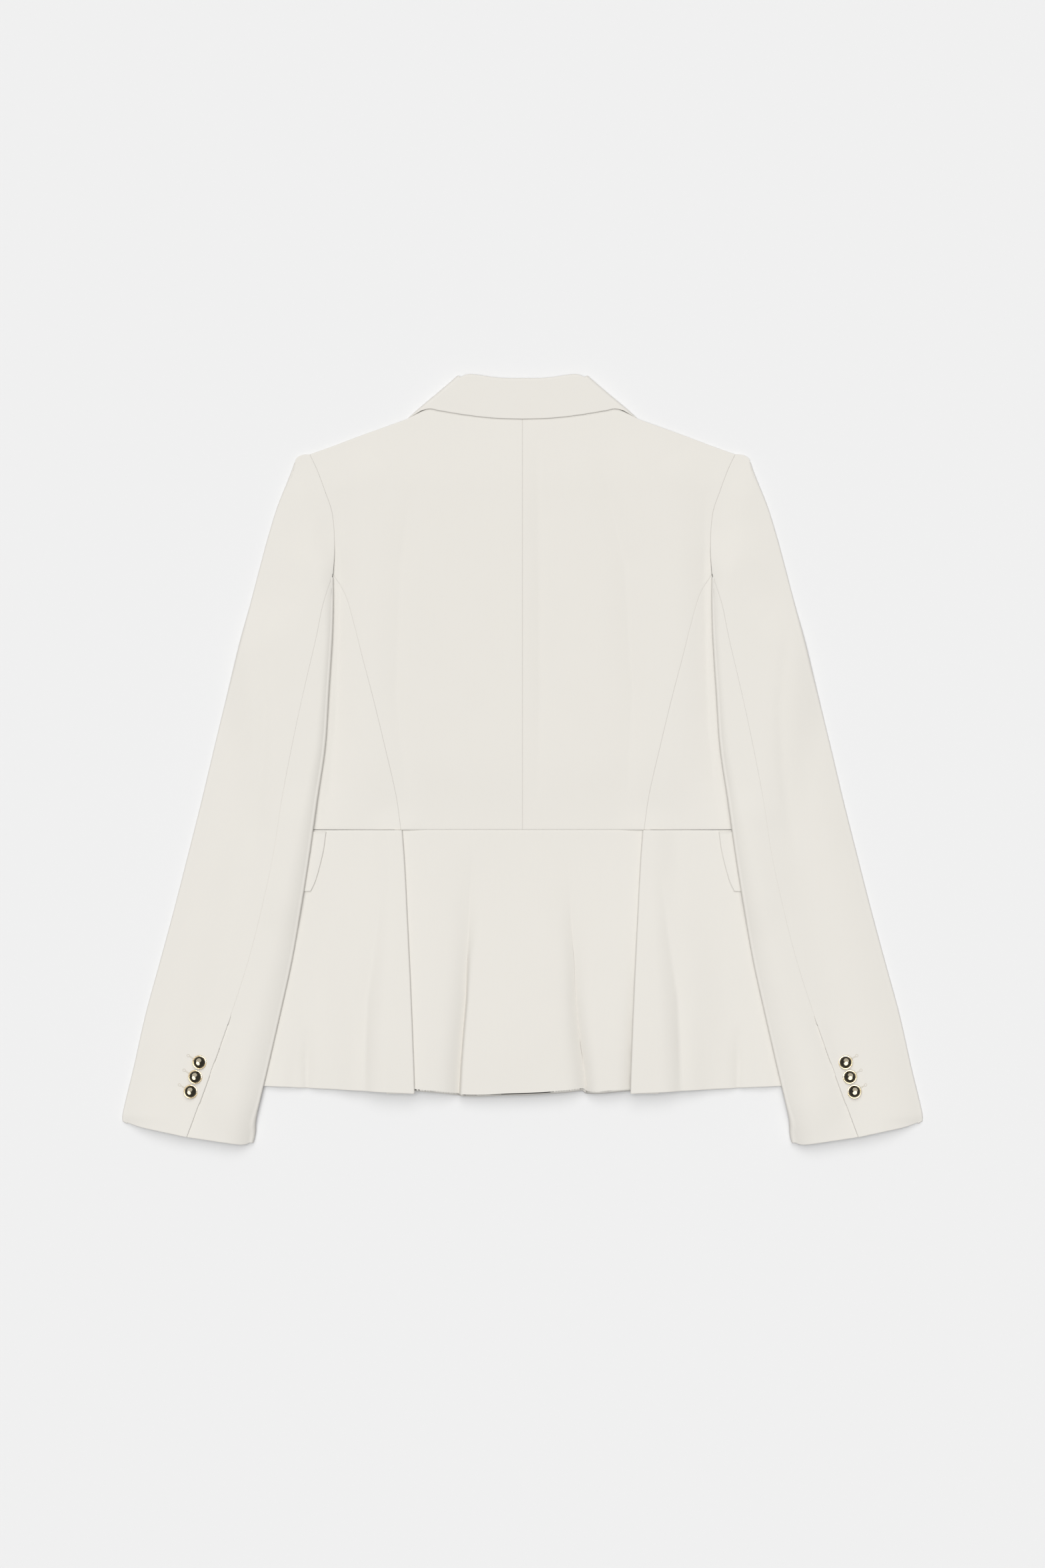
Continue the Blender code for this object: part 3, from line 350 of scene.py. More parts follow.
def curve(controls):
    """A smooth dense line through the controls."""
    controls = np.asarray(controls, dtype=float)
    if len(controls) == 2:
        return at(controls, np.linspace(0, 1, STRAIGHT_POINTS))
    padded = np.vstack([2 * controls[0] - controls[1], controls, 2 * controls[-1] - controls[-2]])
    pieces = []
    for before, start, end, after in zip(padded, padded[1:], padded[2:], padded[3:]):
        for t in np.linspace(0.0, 1.0, CURVE_STEPS, endpoint=False):
            pieces.append(0.5 * (2 * start + (end - before) * t
                                 + (2 * before - 5 * start + 4 * end - after) * t**2
                                 + (3 * start - before - 3 * end + after) * t**3))
    return np.array(pieces + [controls[-1]])


def through(*rows):
    """A smooth line through millimetre points."""
    return curve(points(*rows))


def line_of(*parts):
    """A smooth line through points in metres."""
    return curve(np.vstack(parts))


def chain(*lines):
    """Lines joined end to end, each shared point once, and the shares of the joints."""
    joined = lines[0]
    joints = []
    for line in lines[1:]:
        joints.append(run_of(joined)[-1])
        joined = np.vstack([joined, line[1:]])
    return joined, [joint / run_of(joined)[-1] for joint in joints]


def shares(length, step, joints=(), fine=(True, True)):
    """Shares of a length: evenly about a step apart, with each joint, and close together near a
    fine end, where the cloth stops half a seam short."""
    low = [SEAM / 2 + distance for distance in EDGE_STEPS] if fine[0] else [0.0]
    high = [length - SEAM / 2 - distance for distance in EDGE_STEPS] if fine[1] else [length]
    stops = [low[-1]] + [joint * length for joint in joints] + [high[-1]]
    middle = [np.linspace(start, end, max(2, round((end - start) / step) + 1))[:-1]
              for start, end in zip(stops, stops[1:])]
    return np.concatenate([low[:-1], *middle, high[::-1]]) / length


def soft_step(value):
    """0 up to 0 and 1 from 1, with a level start and end."""
    value = np.clip(value, 0.0, 1.0)
    return value * value * (3 - 2 * value)


def cover(plan, outline, drape):
    """1 over a closed outline and its margin, falling softly to 0 over the ramp."""
    start = np.asarray(outline)
    end = np.roll(start, -1, axis=0)
    away = np.full(plan.shape[:-1], np.inf)
    inside = np.zeros(plan.shape[:-1], dtype=bool)
    x, y = plan[..., 0], plan[..., 1]
    for (x0, y0), (x1, y1) in zip(start, end):
        run_x, run_y = x1 - x0, y1 - y0
        share = np.clip(((x - x0) * run_x + (y - y0) * run_y) / (run_x**2 + run_y**2 + 1e-12), 0, 1)
        away = np.minimum(away, np.hypot(x - x0 - share * run_x, y - y0 - share * run_y))
        if y0 != y1:
            crossing = (y0 > y) != (y1 > y)
            inside ^= crossing & (x < x0 + run_x * (y - y0) / run_y)
    away = np.where(inside, 0.0, away)
    return 1 - soft_step((away - drape.margin * MM) / (drape.ramp * MM))


def mirrored(plan):
    """The same places folded on to the right half."""
    return np.stack([np.abs(plan[..., 0]), plan[..., 1]], axis=-1)


def relief(plan, folds):
    """Height that a table of folds adds."""
    height = np.zeros(plan.shape[:-1])
    for fold in folds:
        start, end = points((fold.x_start, fold.y_start), (fold.x_end, fold.y_end))
        length = np.linalg.norm(end - start)
        along = (end - start) / length
        offset = plan - start
        place = offset @ along
        beside = offset @ np.array([-along[1], along[0]])
        width = np.where(beside > 0, fold.right, fold.left) * MM
        share = np.clip(place / length, 0, 1)
        past = np.maximum(np.maximum(-place, place - length), 0)
        crest = (fold.height_start * (1 - share) + fold.height_end * share) * MM
        height += crest * np.exp(-(beside / width) ** 2 - (past / (FOLD_FADE * MM)) ** 2)
    return height


def hollows(plan, lines):
    """How deep a table of hollows goes at each place."""
    depth = np.zeros(plan.shape[:-1])
    for line in lines:
        x, left, right, deep = read_at(plan[..., 1], line, "x", "left", "right", "depth")
        beside = plan[..., 0] - x
        share = np.hypot(beside, HOLLOW_ROUND) / np.where(beside < 0, left, right)
        depth += deep * (1 - np.clip(share, 0, 1)) ** 2
    return depth


def roll_line(height, beyond=0.0):
    """The lapel's roll line at a height, or a distance outside it."""
    share = (height - BREAK[1]) / (NECK_CORNER[1] - BREAK[1])
    return (NECK_CORNER[0] * share + beyond, height)


LAPEL_EDGE = [roll_line(row.height, row.width) for row in LAPEL]
TURNED_BACK = points(BREAK, *LAPEL_EDGE, COLLAR_END[0], *COLLAR_FOLD, BREAK)
NECK_OUTLINE = points(BREAK, *LAPEL_EDGE, COLLAR_END[0], *COLLAR_FOLD, (0, NECK_CORNER[1]))
FLAP_OUTLINE = points(*FLAP_FRONT, *FLAP_SIDE)
FLAP_TOP_OUTLINE = points(*FLAP_REAR, *FLAP_SIDE)
SHOULDER_OUTLINE = points(*SHOULDER, *SHOULDER[::-1])
PLEAT_INSIDE = sorted(((row.pleat + row.depth, row.height) for row in PEPLUM), key=lambda place: place[1])
PLEAT_OUTLINE = points(*column(PEPLUM, "pleat"), *PLEAT_INSIDE[::-1])
BODY_SIDE = [*UNDERARM_CURVE, *column(BODY, "side")[-2::-1], *column(PEPLUM, "side")[-2::-1],
             (0, PEPLUM[-1].height)]
BODY_UNDER_SLEEVE = points(*BODY_SIDE, (0, UNDERARM_CURVE[0][1]))
ARMHOLE_OUTLINE = points(*ARMHOLE, *ARMHOLE[::-1])
BODY_OUTLINE = points(*ARMHOLE[::-1], *BODY_SIDE[1:], (0, ARMHOLE[-1][1]))


def on_table(plan):
    """Middle of cloth that lies on the table."""
    return np.full(plan.shape[:-1], REST)


def front_height(plan):
    """Middle of the fronts: on the table, and a layer up over the lapel, collar and flap."""
    folded = mirrored(plan)
    under = np.maximum(cover(folded, TURNED_BACK, FRONT_DRAPE), cover(folded, FLAP_OUTLINE, FRONT_DRAPE))
    return REST + LAYER * under


def over_front(plan):
    """Middle of the first layer over the fronts, before its folds: level, and a layer lower only
    where the shoulder seams hold it down."""
    folded = mirrored(plan)
    held = cover(folded, SHOULDER_OUTLINE, SHOULDER_DRAPE)
    return REST + LAYER * (1 + np.maximum(cover(folded, NECK_OUTLINE, NECK_DRAPE), 1 - held))


def crown(plan):
    """How far the middle of the back stands up."""
    x, y = np.abs(plan[..., 0]), plan[..., 1]
    sides = 1 - soft_step((x - CROWN_SIDE[0]) / CROWN_SIDE[1])
    ends = soft_step((y - WAIST * MM) / CROWN_ENDS) * soft_step((BACK_NECK[0][1] * MM - y) / CROWN_ENDS)
    return CROWN * sides * ends


def flare(plan):
    """How far the peplum stands up towards its hem."""
    x, y = np.abs(plan[..., 0]), plan[..., 1]
    sides = 1 - soft_step((x - FLARE_SIDE[0]) / FLARE_SIDE[1])
    return HEM_FLARE * sides * soft_step((WAIST * MM - y) / FLARE_LENGTH)


def pleat_cover(plan):
    """1 over a pleat's turned-under layers, and 0 away from them."""
    return cover(mirrored(plan), PLEAT_OUTLINE, PLEAT_DRAPE)


def back_height(plan):
    """Middle of the body's top layer."""
    near_waist = soft_step(1 - (plan[..., 1] - WAIST * MM) / WAIST_RISE)
    return (over_front(plan) + crown(plan) - hollows(plan, BODY_HOLLOWS)
            - hollows(mirrored(plan), (UNDERARM,)) + LAYER * pleat_cover(plan) * near_waist)


def peplum_back_height(plan):
    """Middle of the peplum back, level where it runs under the pleats."""
    free = soft_step((read_at(plan[..., 1], PEPLUM, "pleat")[0] - np.abs(plan[..., 0])) / PLEAT_FREE)
    return (over_front(plan) + flare(plan) - hollows(plan, PEPLUM_BACK_HOLLOWS) * free
            - hollows(plan, PLEAT_HOLLOWS))


def return_height(plan):
    """Middle of the cloth that a pleat turns under."""
    return over_front(plan) + flare(plan) + LAYER


def peplum_side_height(plan):
    """Middle of the peplum side's top layer."""
    folded = mirrored(plan)
    return (over_front(plan) + flare(plan) + 2 * LAYER * pleat_cover(plan)
            + relief(folded, PEPLUM_SIDE_FOLDS) - hollows(folded, PEPLUM_SIDE_HOLLOWS))


def flap_height(plan):
    """Middle of the pocket flap where it lies on the peplum side."""
    return peplum_side_height(plan) + LAYER


def body_top(plan):
    """Middle of whatever is the body's top layer under the sleeve."""
    height = np.where(plan[..., 1] > WAIST * MM, back_height(plan), peplum_side_height(plan))
    return height + LAYER * cover(mirrored(plan), FLAP_TOP_OUTLINE, OVER_FLAP_DRAPE)


def sewn(plan):
    """1 along the armhole seam above the underarm, falling softly to 0 beside it."""
    above = soft_step((plan[..., 1] - ARMHOLE[0][1] * MM) / SEWN_RISE)
    return above * cover(mirrored(plan), ARMHOLE_OUTLINE, SEWN_DRAPE)


def sleeve_low_height(plan):
    """Middle of a sleeve's lower layer: over the body, then down to the table, and just under the
    body's top layer at the armhole seam."""
    on_body = cover(mirrored(plan), BODY_UNDER_SLEEVE, SLEEVE_DRAPE)
    height = REST + on_body * (body_top(plan) + LAYER - REST)
    return height + sewn(plan) * np.minimum(back_height(plan) - LAYER - height, 0)


def sleeve_edge(plan, name, upper, lower):
    """An edge of the sleeve as a half width at each place's height."""
    edge = sorted((y, x) for x, y in [*upper, *column(SLEEVE, name), lower])
    return np.interp(plan[..., 1], [y * MM for y, _ in edge], [x * MM for _, x in edge])


def sleeve_round(plan):
    """How far a sleeve's top stands up between its edges."""
    x, y = np.abs(plan[..., 0]), plan[..., 1]
    inner, outer, rise = read_at(y, SLEEVE_ROUND, "inner", "outer", "rise")
    from_inner = np.clip((x - sleeve_edge(plan, "inner", ARMHOLE, CUFF_INNER)) / inner, 0, 1)
    outer_edge = sleeve_edge(plan, "outer", SLEEVE_HEAD + HEAD_TOP[-1:], CUFF_OUTER)
    from_outer = np.clip((outer_edge - x) / outer, 0, 1)
    return rise * (1 - (1 - from_inner) ** 2) * (1 - (1 - from_outer) ** 2)


def beside_vent(plan):
    """1 at the vent below its top, falling to 0 across its lifted strip, and the side of it."""
    beside = np.abs(plan[..., 0]) - sleeve_edge(plan, "hind", (), CUFF_HIND)
    low = soft_step((VENT_TOP - plan[..., 1]) / VENT_FADE)
    return low * np.exp(-(beside / VENT_REACH) ** 2), beside


def sleeve_top_height(plan):
    """Middle of a sleeve's top layer away from the vent: level with the body at the armhole, and two
    layers over the body where the sleeve lies on it."""
    folded = mirrored(plan)
    on_body = cover(folded, BODY_UNDER_SLEEVE, SLEEVE_TOP_DRAPE)
    beside_body = cover(folded, BODY_OUTLINE, SLEEVE_LEVEL_DRAPE)
    level = REST + LAYER + beside_body * (over_front(plan) - REST - LAYER)
    height = (level + on_body * (body_top(plan) + 2 * LAYER - level) + sleeve_round(plan)
              + relief(folded, SLEEVE_FOLDS) - hollows(folded, SLEEVE_HOLLOWS))
    return height + sewn(plan) * (back_height(plan) - height)


def under_sleeve_height(plan):
    """Middle of the under sleeve's top layer, tucked under along the vent."""
    near, beside = beside_vent(plan)
    return sleeve_top_height(plan) - VENT_TUCK * near * (beside < 0)


def upper_sleeve_height(plan):
    """Middle of the upper sleeve's top layer, standing proud along the vent."""
    near, beside = beside_vent(plan)
    return sleeve_top_height(plan) + VENT_LIFT * near * (beside > 0)


def patch(bottom, top, left, right, across, along):
    """Plan points between four edges, at shares across and along them."""
    u = np.asarray(across)[None, :, None]
    v = np.asarray(along)[:, None, None]
    low, high = at(bottom, across)[None], at(top, across)[None]
    start, end = at(left, along)[:, None], at(right, along)[:, None]
    corners = ((1 - u) * (1 - v) * left[0] + u * (1 - v) * right[0]
               + (1 - u) * v * left[-1] + u * v * right[-1])
    return (1 - v) * low + v * high + (1 - u) * start + u * end - corners


def drawn_to(plan, across, places, lines):
    """Rows of plan points moved sideways so that the columns at the places run along the lines."""
    moved = []
    for row in plan:
        stops = []
        for line in lines:
            y = np.interp(line[-1].x * MM, row[:, 0], row[:, 1])
            stops += read_at(y, line, "x")
        x = np.interp(across, [0.0, *places, 1.0], [row[0, 0], *stops, row[-1, 0]])
        moved.append(np.column_stack([x, np.interp(x, row[:, 0], row[:, 1])]))
    return np.array(moved)


def lifted(plan, height):
    """Plan points with the height of their layer."""
    return np.concatenate([plan, height(plan)[..., None]], axis=-1)


def outward_of(edge, side):
    """Unit plan normals of an edge that runs up the sheet, to its right for side 1."""
    along = np.gradient(edge, axis=0)
    normal = np.column_stack([along[:, 1], -along[:, 0]]) * side
    return normal / np.linalg.norm(normal, axis=1)[:, None]


def fold_inset(edge, side, first, second):
    """The edge moved in so that the cloth folded there just reaches it."""
    outward = outward_of(edge, side)
    moved = edge
    for _ in range(3):
        radius = np.abs(first(moved) - second(moved)) / 2
        moved = edge - outward * (radius + CLOTH / 2)[:, None]
    return moved


def bend(edge, side, first, second):
    """The columns of a half turn that joins two layers along an edge, ends left out."""
    outward = outward_of(edge, side)
    start, end = first(edge), second(edge)
    middle, radius = (start + end) / 2, (end - start) / 2
    columns = []
    for angle in np.linspace(-math.pi / 2, math.pi / 2, BEND_STEPS + 1)[1:-1]:
        plan = edge + outward * (np.abs(radius) * math.cos(angle))[:, None]
        columns.append(np.column_stack([plan, middle + radius * math.sin(angle)]))
    return np.stack(columns, axis=1)


def sheet_normals(rows):
    """Unit normals of a sheet at its points."""
    across = np.gradient(rows, axis=1)
    along = np.gradient(rows, axis=0)
    normal = np.cross(across, along)
    return normal / np.linalg.norm(normal, axis=-1, keepdims=True)


def distances(rows, axis):
    """Distance along a sheet from the start and from the end of each line of points."""
    steps = np.linalg.norm(np.diff(rows, axis=axis), axis=-1)
    run = np.cumsum(steps, axis=axis)
    zero = np.zeros_like(run[:1] if axis == 0 else run[:, :1])
    run = np.concatenate([zero, run], axis=axis)
    total = run[-1:] if axis == 0 else run[:, -1:]
    return run, total - run


def simple_mesh(name, verts, faces, finish):
    """A smooth mesh object with its material."""
    data = bpy.data.meshes.new(name)
    data.from_pydata(verts, [], faces)
    data.materials.append(finish)
    data.shade_smooth()
    made = bpy.data.objects.new(name, data)
    SCENE.objects.link(made)
    return made


def cloth(name, rows, finish, seams):
    """One closed wall of cloth about a sheet of middle points. seams gives the first row, last row,
    first column and last column as 0 for a rounded free edge, or how clearly the seam there shows."""
    edges = [*distances(rows, 0), *distances(rows, 1)]
    normals = sheet_normals(rows)
    facing = 1.0 if np.median(normals[..., 2]) > 0 else -1.0
    half = np.full(rows.shape[:2], CLOTH / 2)
    dip = np.zeros(rows.shape[:2])
    for distance, seam in zip(edges, seams):
        seam = np.asarray(seam, dtype=float)
        radius = np.where(seam > 0, SEAM_ROUND * np.clip(seam / SEAM_FAINT, 0.1, 1), EDGE_ROUND)
        rounding = np.sqrt(np.clip(1 - (1 - np.clip(distance / radius, 0, 1)) ** 2, 0, 1))
        half *= EDGE_THIN + (1 - EDGE_THIN) * rounding
        dip = np.maximum(dip, seam * np.exp(-(distance / SEAM_SOFT) ** 2))
    middle = rows - normals * (facing * SEAM_DIP * dip)[..., None]
    upper = middle + normals * half[..., None]
    lower = middle - normals * half[..., None]
    count_rows, count_columns = rows.shape[:2]
    size = count_rows * count_columns
    index = np.arange(size).reshape(count_rows, count_columns)
    quads = np.stack([index[:-1, :-1], index[:-1, 1:], index[1:, 1:], index[1:, :-1]], axis=-1).reshape(-1, 4)
    rim = np.concatenate([index[0, :], index[1:, -1], index[-1, -2::-1], index[-2:0:-1, 0]])
    after = np.roll(rim, -1)
    sides = np.stack([rim + size, after + size, after, rim], axis=-1)
    faces = np.concatenate([quads, quads[:, ::-1] + size, sides])
    if facing < 0:
        faces = faces[:, ::-1]
    verts = np.concatenate([upper.reshape(-1, 3), lower.reshape(-1, 3)])
    made = simple_mesh(f"{name}_cloth", verts.tolist(), faces.tolist(), finish)
    run_along, run_across = edges[0], edges[2]
    weave = np.stack([rows[:, :1, 0] + run_across, rows[:1, :, 1] + run_along], axis=-1).reshape(-1, 2)
    layer = made.data.uv_layers.new(name="weave")
    corners = np.zeros(len(made.data.loops), dtype=np.int32)
    made.data.loops.foreach_get("vertex_index", corners)
    layer.data.foreach_set("uv", weave[corners % size].astype(np.float32).ravel())
    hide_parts(name)
    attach(made, "root")


def on_side(plan, side):
    """Right-half plan points on the right (1) or the left (-1)."""
    return plan * np.array([side, 1.0])


def named(stem, side):
    """A piece's name with its side."""
    return f"{stem}_{'right' if side > 0 else 'left'}"


def sided(side, *heights):
    """Height functions for right-half points of a piece on either side."""
    return [lambda plan, height=height: height(on_side(plan, side)) for height in heights]


def half_cloth(stem, side, rows, finish, seams):
    """A piece that is given as its right half, on its own side."""
    cloth(named(stem, side), rows * np.array([side, 1.0, 1.0]), finish, seams)


def length_of(line):
    """A line's length."""
    return run_of(line)[-1]


def strip(first, last, along, height, step, fine, bottom=(), top=(), gauge=0):
    """Cloth between two lines, its ends through points in millimetres, with its columns a step apart
    on the end at the gauge."""
    ends = [line_of(first[place], *points(*between), last[place])
            for place, between in ((0, bottom), (-1, top))]
    across = shares(length_of(ends[gauge]), step, fine=fine)
    return lifted(patch(*ends, first, last, across, along), height)


def late(line):
    """0 along most of a line, rising to 1 at its end."""
    return np.linspace(0, 1, len(line))[:, None] ** END_EASE


def risen(line, rise):
    """A peplum line that runs up from the hem, raised there and level with the others at the waist."""
    line[:, 1] += np.linspace(rise * MM, 0, len(line))
    return line


def curved_seam():
    """The seam from waist to underarm between the centre back and the side panel."""
    return through(*column(BODY, "back_seam"), *BACK_SEAM_TOP)


def body_back(side, finish):
    """Half of the centre back, from the waist up to neck and shoulder."""
    outer, corner = chain(curved_seam(), through(*ARMHOLE))
    centre = through((0, WAIST), BACK_NECK[0])
    top, neck_end = chain(through(*BACK_NECK), through(*SHOULDER))
    waist = through((0, WAIST), (BODY[0].back_seam, WAIST))
    across = shares(length_of(top), FINE, neck_end)
    along = shares(length_of(outer), FINE, corner)
    sheet = lifted(patch(waist, top, centre, outer, across, along), *sided(side, back_height))
    seam_out = np.where(np.array(along) < corner[0], CURVED_SEAM, ARMHOLE_SEAM)[:, None]
    half_cloth("back", side, sheet, finish, (WAIST_SEAM, 0, CENTRE_SEAM, seam_out))


def body_side(side, finish):
    """The side panel: top layer, round the side, and under to the front seam."""
    high, low = sided(side, back_height, front_height)
    seam = curved_seam()
    edge = fold_inset(through(*column(BODY, "side")), 1, high, low)
    front_seam = through(*column(BODY, "front_seam"), FRONT_SEAM_TOP)
    along = shares(length_of(seam), FINE)
    over = strip(seam, edge, along, high, FINE, (True, False), top=UNDERARM_CURVE[1:-1])
    under = strip(edge, front_seam, along, low, COARSE, (False, True), top=UNDERARM_CURVE[3:4])
    sheet = np.concatenate([over, bend(at(edge, along), 1, high, low), under], axis=1)
    half_cloth("side", side, sheet, finish, (WAIST_SEAM, ARMHOLE_SEAM, CURVED_SEAM, 0))


def body_front(side, finish):
    """One front: up the centre and the roll line, out to the side seam, the armhole and the shoulder."""
    outer, corners = chain(through(*column(BODY, "front_seam"), FRONT_SEAM_TOP),
                           through(*UNDERARM_CURVE[2::-1]), through(*ARMHOLE))
    roll = through(BREAK, roll_line(GORGE_HEIGHT)) + np.array([TURN, 0.0])
    centre = line_of(points((0, WAIST)), roll[:1])
    inner, stops = chain(centre, roll, line_of(roll[-1], points(*NECKLINE)))
    waist = through((0, WAIST), (BODY[0].front_seam, WAIST))
    across = shares(length_of(waist), COARSE)
    along = shares(length_of(outer), COARSE, sorted(corners + stops))
    sheet = lifted(patch(waist, through(*SHOULDER), inner, outer, across, along), *sided(side, front_height))
    half_cloth("front", side, sheet, finish, (WAIST_SEAM, 0, 0, CURVED_SEAM))


def lapel(side, finish):
    """The turned-back lapel: a half turn down from the front's edge, then flat on the table."""
    edge = through(roll_line(LAPEL[0].height), roll_line(LAPEL_TOP)) + np.array([TURN, 0.0])
    outer = through(*LAPEL_EDGE)
    along = shares(length_of(outer), COARSE)
    flat = strip(edge, outer, along, on_table, COARSE, (False, True), gauge=1)
    rolled = bend(at(edge, along), -1, *sided(side, front_height), on_table)
    sheet = np.concatenate([rolled, flat], axis=1)
    half_cloth("lapel", side, sheet, finish, (0, 0, 0, 0))


def collar_half():
    """Middle between fall and stand over the right half: over the back, round the fold, to the front end."""
    def high(plan):
        return over_front(plan) + LAYER / 2

    def low(plan):
        return on_table(plan) + LAYER / 2

    fold = through(*COLLAR_FOLD)
    whole = fold - outward_of(fold, 1) * (LAYER + TURN) + late(fold) * COLLAR_CORNER
    edge = at(whole, np.linspace(COLLAR_WRAP, 1, len(whole)))
    fall = line_of(points(*COLLAR_FALL), edge[0])
    roll = line_of(points(*COLLAR_ROLL[:-1]) - np.array([0.0, TURN]), edge[-1])
    centre = line_of(fall[0], roll[0])
    end = through(*COLLAR_END)
    end = end + late(end) * np.array([TURN, 0.0])
    along = shares(length_of(centre), COLLAR_FINE, fine=(True, False))
    across = shares(length_of(fall), COLLAR_FINE, fine=(False, False))
    over = lifted(patch(fall, roll, centre, edge, across, along), high)
    under = strip(whole, end, along, low, COARSE, (False, True))
    turned = []
    for step in range(1, BEND_STEPS):
        start = COLLAR_WRAP * (1 - math.sin(min(step / BEND_STEPS, 0.5) * math.pi))
        turned.append(bend(at(whole, start + (1 - start) * along), 1, high, low)[:, step - 1])
    return np.concatenate([over, np.stack(turned, axis=1), under], axis=1)


def collar(finish):
    """Fall and stand in one: the fall outside, a half turn at the roll line, the stand inside."""
    right = collar_half()
    left = right[:, ::-1] * np.array([-1.0, 1.0, 1.0])
    middle = np.concatenate([left, right[:, 1:]], axis=1)
    normals = sheet_normals(middle)
    across = middle[-1] - middle[-3]
    outward = across / np.linalg.norm(across, axis=1)[:, None]
    turn = [middle[-1] + (normals[-1] * math.cos(angle) + outward * math.sin(angle)) * LAYER / 2
            for angle in np.linspace(0, math.pi, ROLL_STEPS)[1:-1]]
    run = distances(middle[len(middle) // 2][None], 1)[0][0]
    from_centre = np.abs(run / run[-1] * 2 - 1)
    share = np.interp(from_centre, [row.along for row in STAND], [row.share for row in STAND])
    columns = np.arange(middle.shape[1])
    inside = middle - normals * LAYER / 2
    stand = []
    for step in np.linspace(0, 1, ROLL_STEPS):
        place = (len(middle) - 1) * (1 - share * step)
        row = np.clip(np.floor(place).astype(int), 0, len(middle) - 2)
        part = (place - row)[:, None]
        stand.append(inside[row, columns] * (1 - part) + inside[row + 1, columns] * part)
    sheet = np.concatenate([middle + normals * LAYER / 2, np.stack(turn), np.stack(stand)], axis=0)
    cloth("collar", sheet, finish, (0, 0, 0, 0))


def hind_seam(line):
    """How clearly the hind seam shows at each point of it."""
    return np.interp(line[:, 1] / MM, *zip(*HIND_SEAM_FADE))


def upper_sleeve(side, finish):
    """From armhole and hind seam, round the outer edge, and under to the seam beneath."""
    high, low = sided(side, upper_sleeve_height, sleeve_low_height)
    armhole = through(*ARMHOLE)
    inner, corner = chain(through(*column(SLEEVE, "hind", CUFF_HIND), UNDER_SLEEVE_TOP[1]), armhole)
    outer = through(*column(SLEEVE, "outer", CUFF_OUTER), *SLEEVE_HEAD[::-1], HEAD_TOP[-1])
    edge = fold_inset(outer, 1, high, low)
    beneath = chain(through(*column(SLEEVE, "fore", CUFF_FORE), FORE_TOP), armhole)[0]
    along = shares(length_of(inner), FINE, corner)
    over = strip(inner, edge, along, high, FINE, (True, False), CUFF_BOW_UPPER, HEAD_TOP[1:-1])
    under = strip(edge, beneath, along, low, COARSE, (False, True), top=HEAD_TOP[-2:0:-1])
    sheet = np.concatenate([over, bend(at(edge, along), 1, high, low), under], axis=1)
    inner_at = at(inner, along)
    sewn_in = np.where(np.array(along) < corner[0], hind_seam(inner_at), ARMHOLE_SEAM)
    seam_in = np.where(inner_at[:, 1] < VENT_TOP, 0, sewn_in)[:, None]
    half_cloth("sleeve_upper", side, sheet, finish, (0, ARMHOLE_SEAM, seam_in, SLEEVE_SEAM))


def under_sleeve(side, finish):
    """From the hind seam, round the inner edge, and under to the seam beneath."""
    high, low = sided(side, under_sleeve_height, sleeve_low_height)
    hind = through(*column(SLEEVE, "hind", CUFF_HIND), UNDER_SLEEVE_TOP[1])
    inner = through(CUFF_INNER, CUFF_TURN, *column(SLEEVE, "inner"), UNDER_SLEEVE_TOP[0])
    edge = fold_inset(inner, -1, high, low)
    fore = through(*column(SLEEVE, "fore", CUFF_FORE), FORE_TOP)
    along = shares(length_of(hind), FINE)
    over = strip(hind, edge, along, high, FINE, (True, False), CUFF_BOW_UNDER)
    under = strip(edge, fore, along, low, COARSE, (False, True))
    sheet = np.concatenate([over, bend(at(edge, along), -1, high, low), under], axis=1)
    seams = (0, SLEEVE_SEAM, hind_seam(at(hind, along))[:, None], SLEEVE_SEAM)
    half_cloth("sleeve_under", side, sheet, finish, seams)


def peplum_back(finish):
    """The centre panel, with an underlay that runs under each pleat."""
    right = through(*PLEAT_INSIDE)
    left = right * np.array([-1.0, 1.0])
    hem = points(*HEM_BACK)
    right[0, 1], left[0, 1] = hem[-1, 1], hem[0, 1]
    hem = line_of(left[0], hem, right[0])
    waist = line_of(left[-1], right[-1])
    width = length_of(hem)
    folds = (LEFT_FOLD, RIGHT_FOLD)
    places = [0.5 + fold[-1].x * MM / width for fold in folds]
    beside = [place + way * step * MM / width for place in places for way in (-1, 1) for step in FOLD_STEPS]
    across = shares(width, FINE, sorted(places + beside))
    along = shares(length_of(right), FINE)
    plan = drawn_to(patch(hem, waist, left, right, across, along), across, places, folds)
    cloth("peplum_back", lifted(plan, peplum_back_height), finish, (0, WAIST_SEAM, 0, 0))


def peplum_side(side, finish):
    """Turned-under pleat, top layer, round the side, and under to the front seam."""
    back, high, low = sided(side, return_height, peplum_side_height, front_height)
    pleat = fold_inset(through(*column(PEPLUM, "pleat")), -1, back, high)
    edge = fold_inset(risen(through(*column(PEPLUM, "side")), HEM_RISE_SIDE), 1, high, low)
    seam = risen(through(*column(PEPLUM, "front_seam")), HEM_RISE_SIDE / 2)
    along = shares(length_of(pleat), FINE)
    turned = strip(through(*PLEAT_INSIDE), pleat, along, back, COARSE, (True, False))
    over = strip(pleat, edge, along, high, FINE, (False, False))
    under = strip(edge, seam, along, low, COARSE, (False, True))
    sheet = np.concatenate([turned, bend(at(pleat, along), -1, back, high), over,
                            bend(at(edge, along), 1, high, low), under], axis=1)
    half_cloth("peplum_side", side, sheet, finish, (0, WAIST_SEAM, 0, 0))


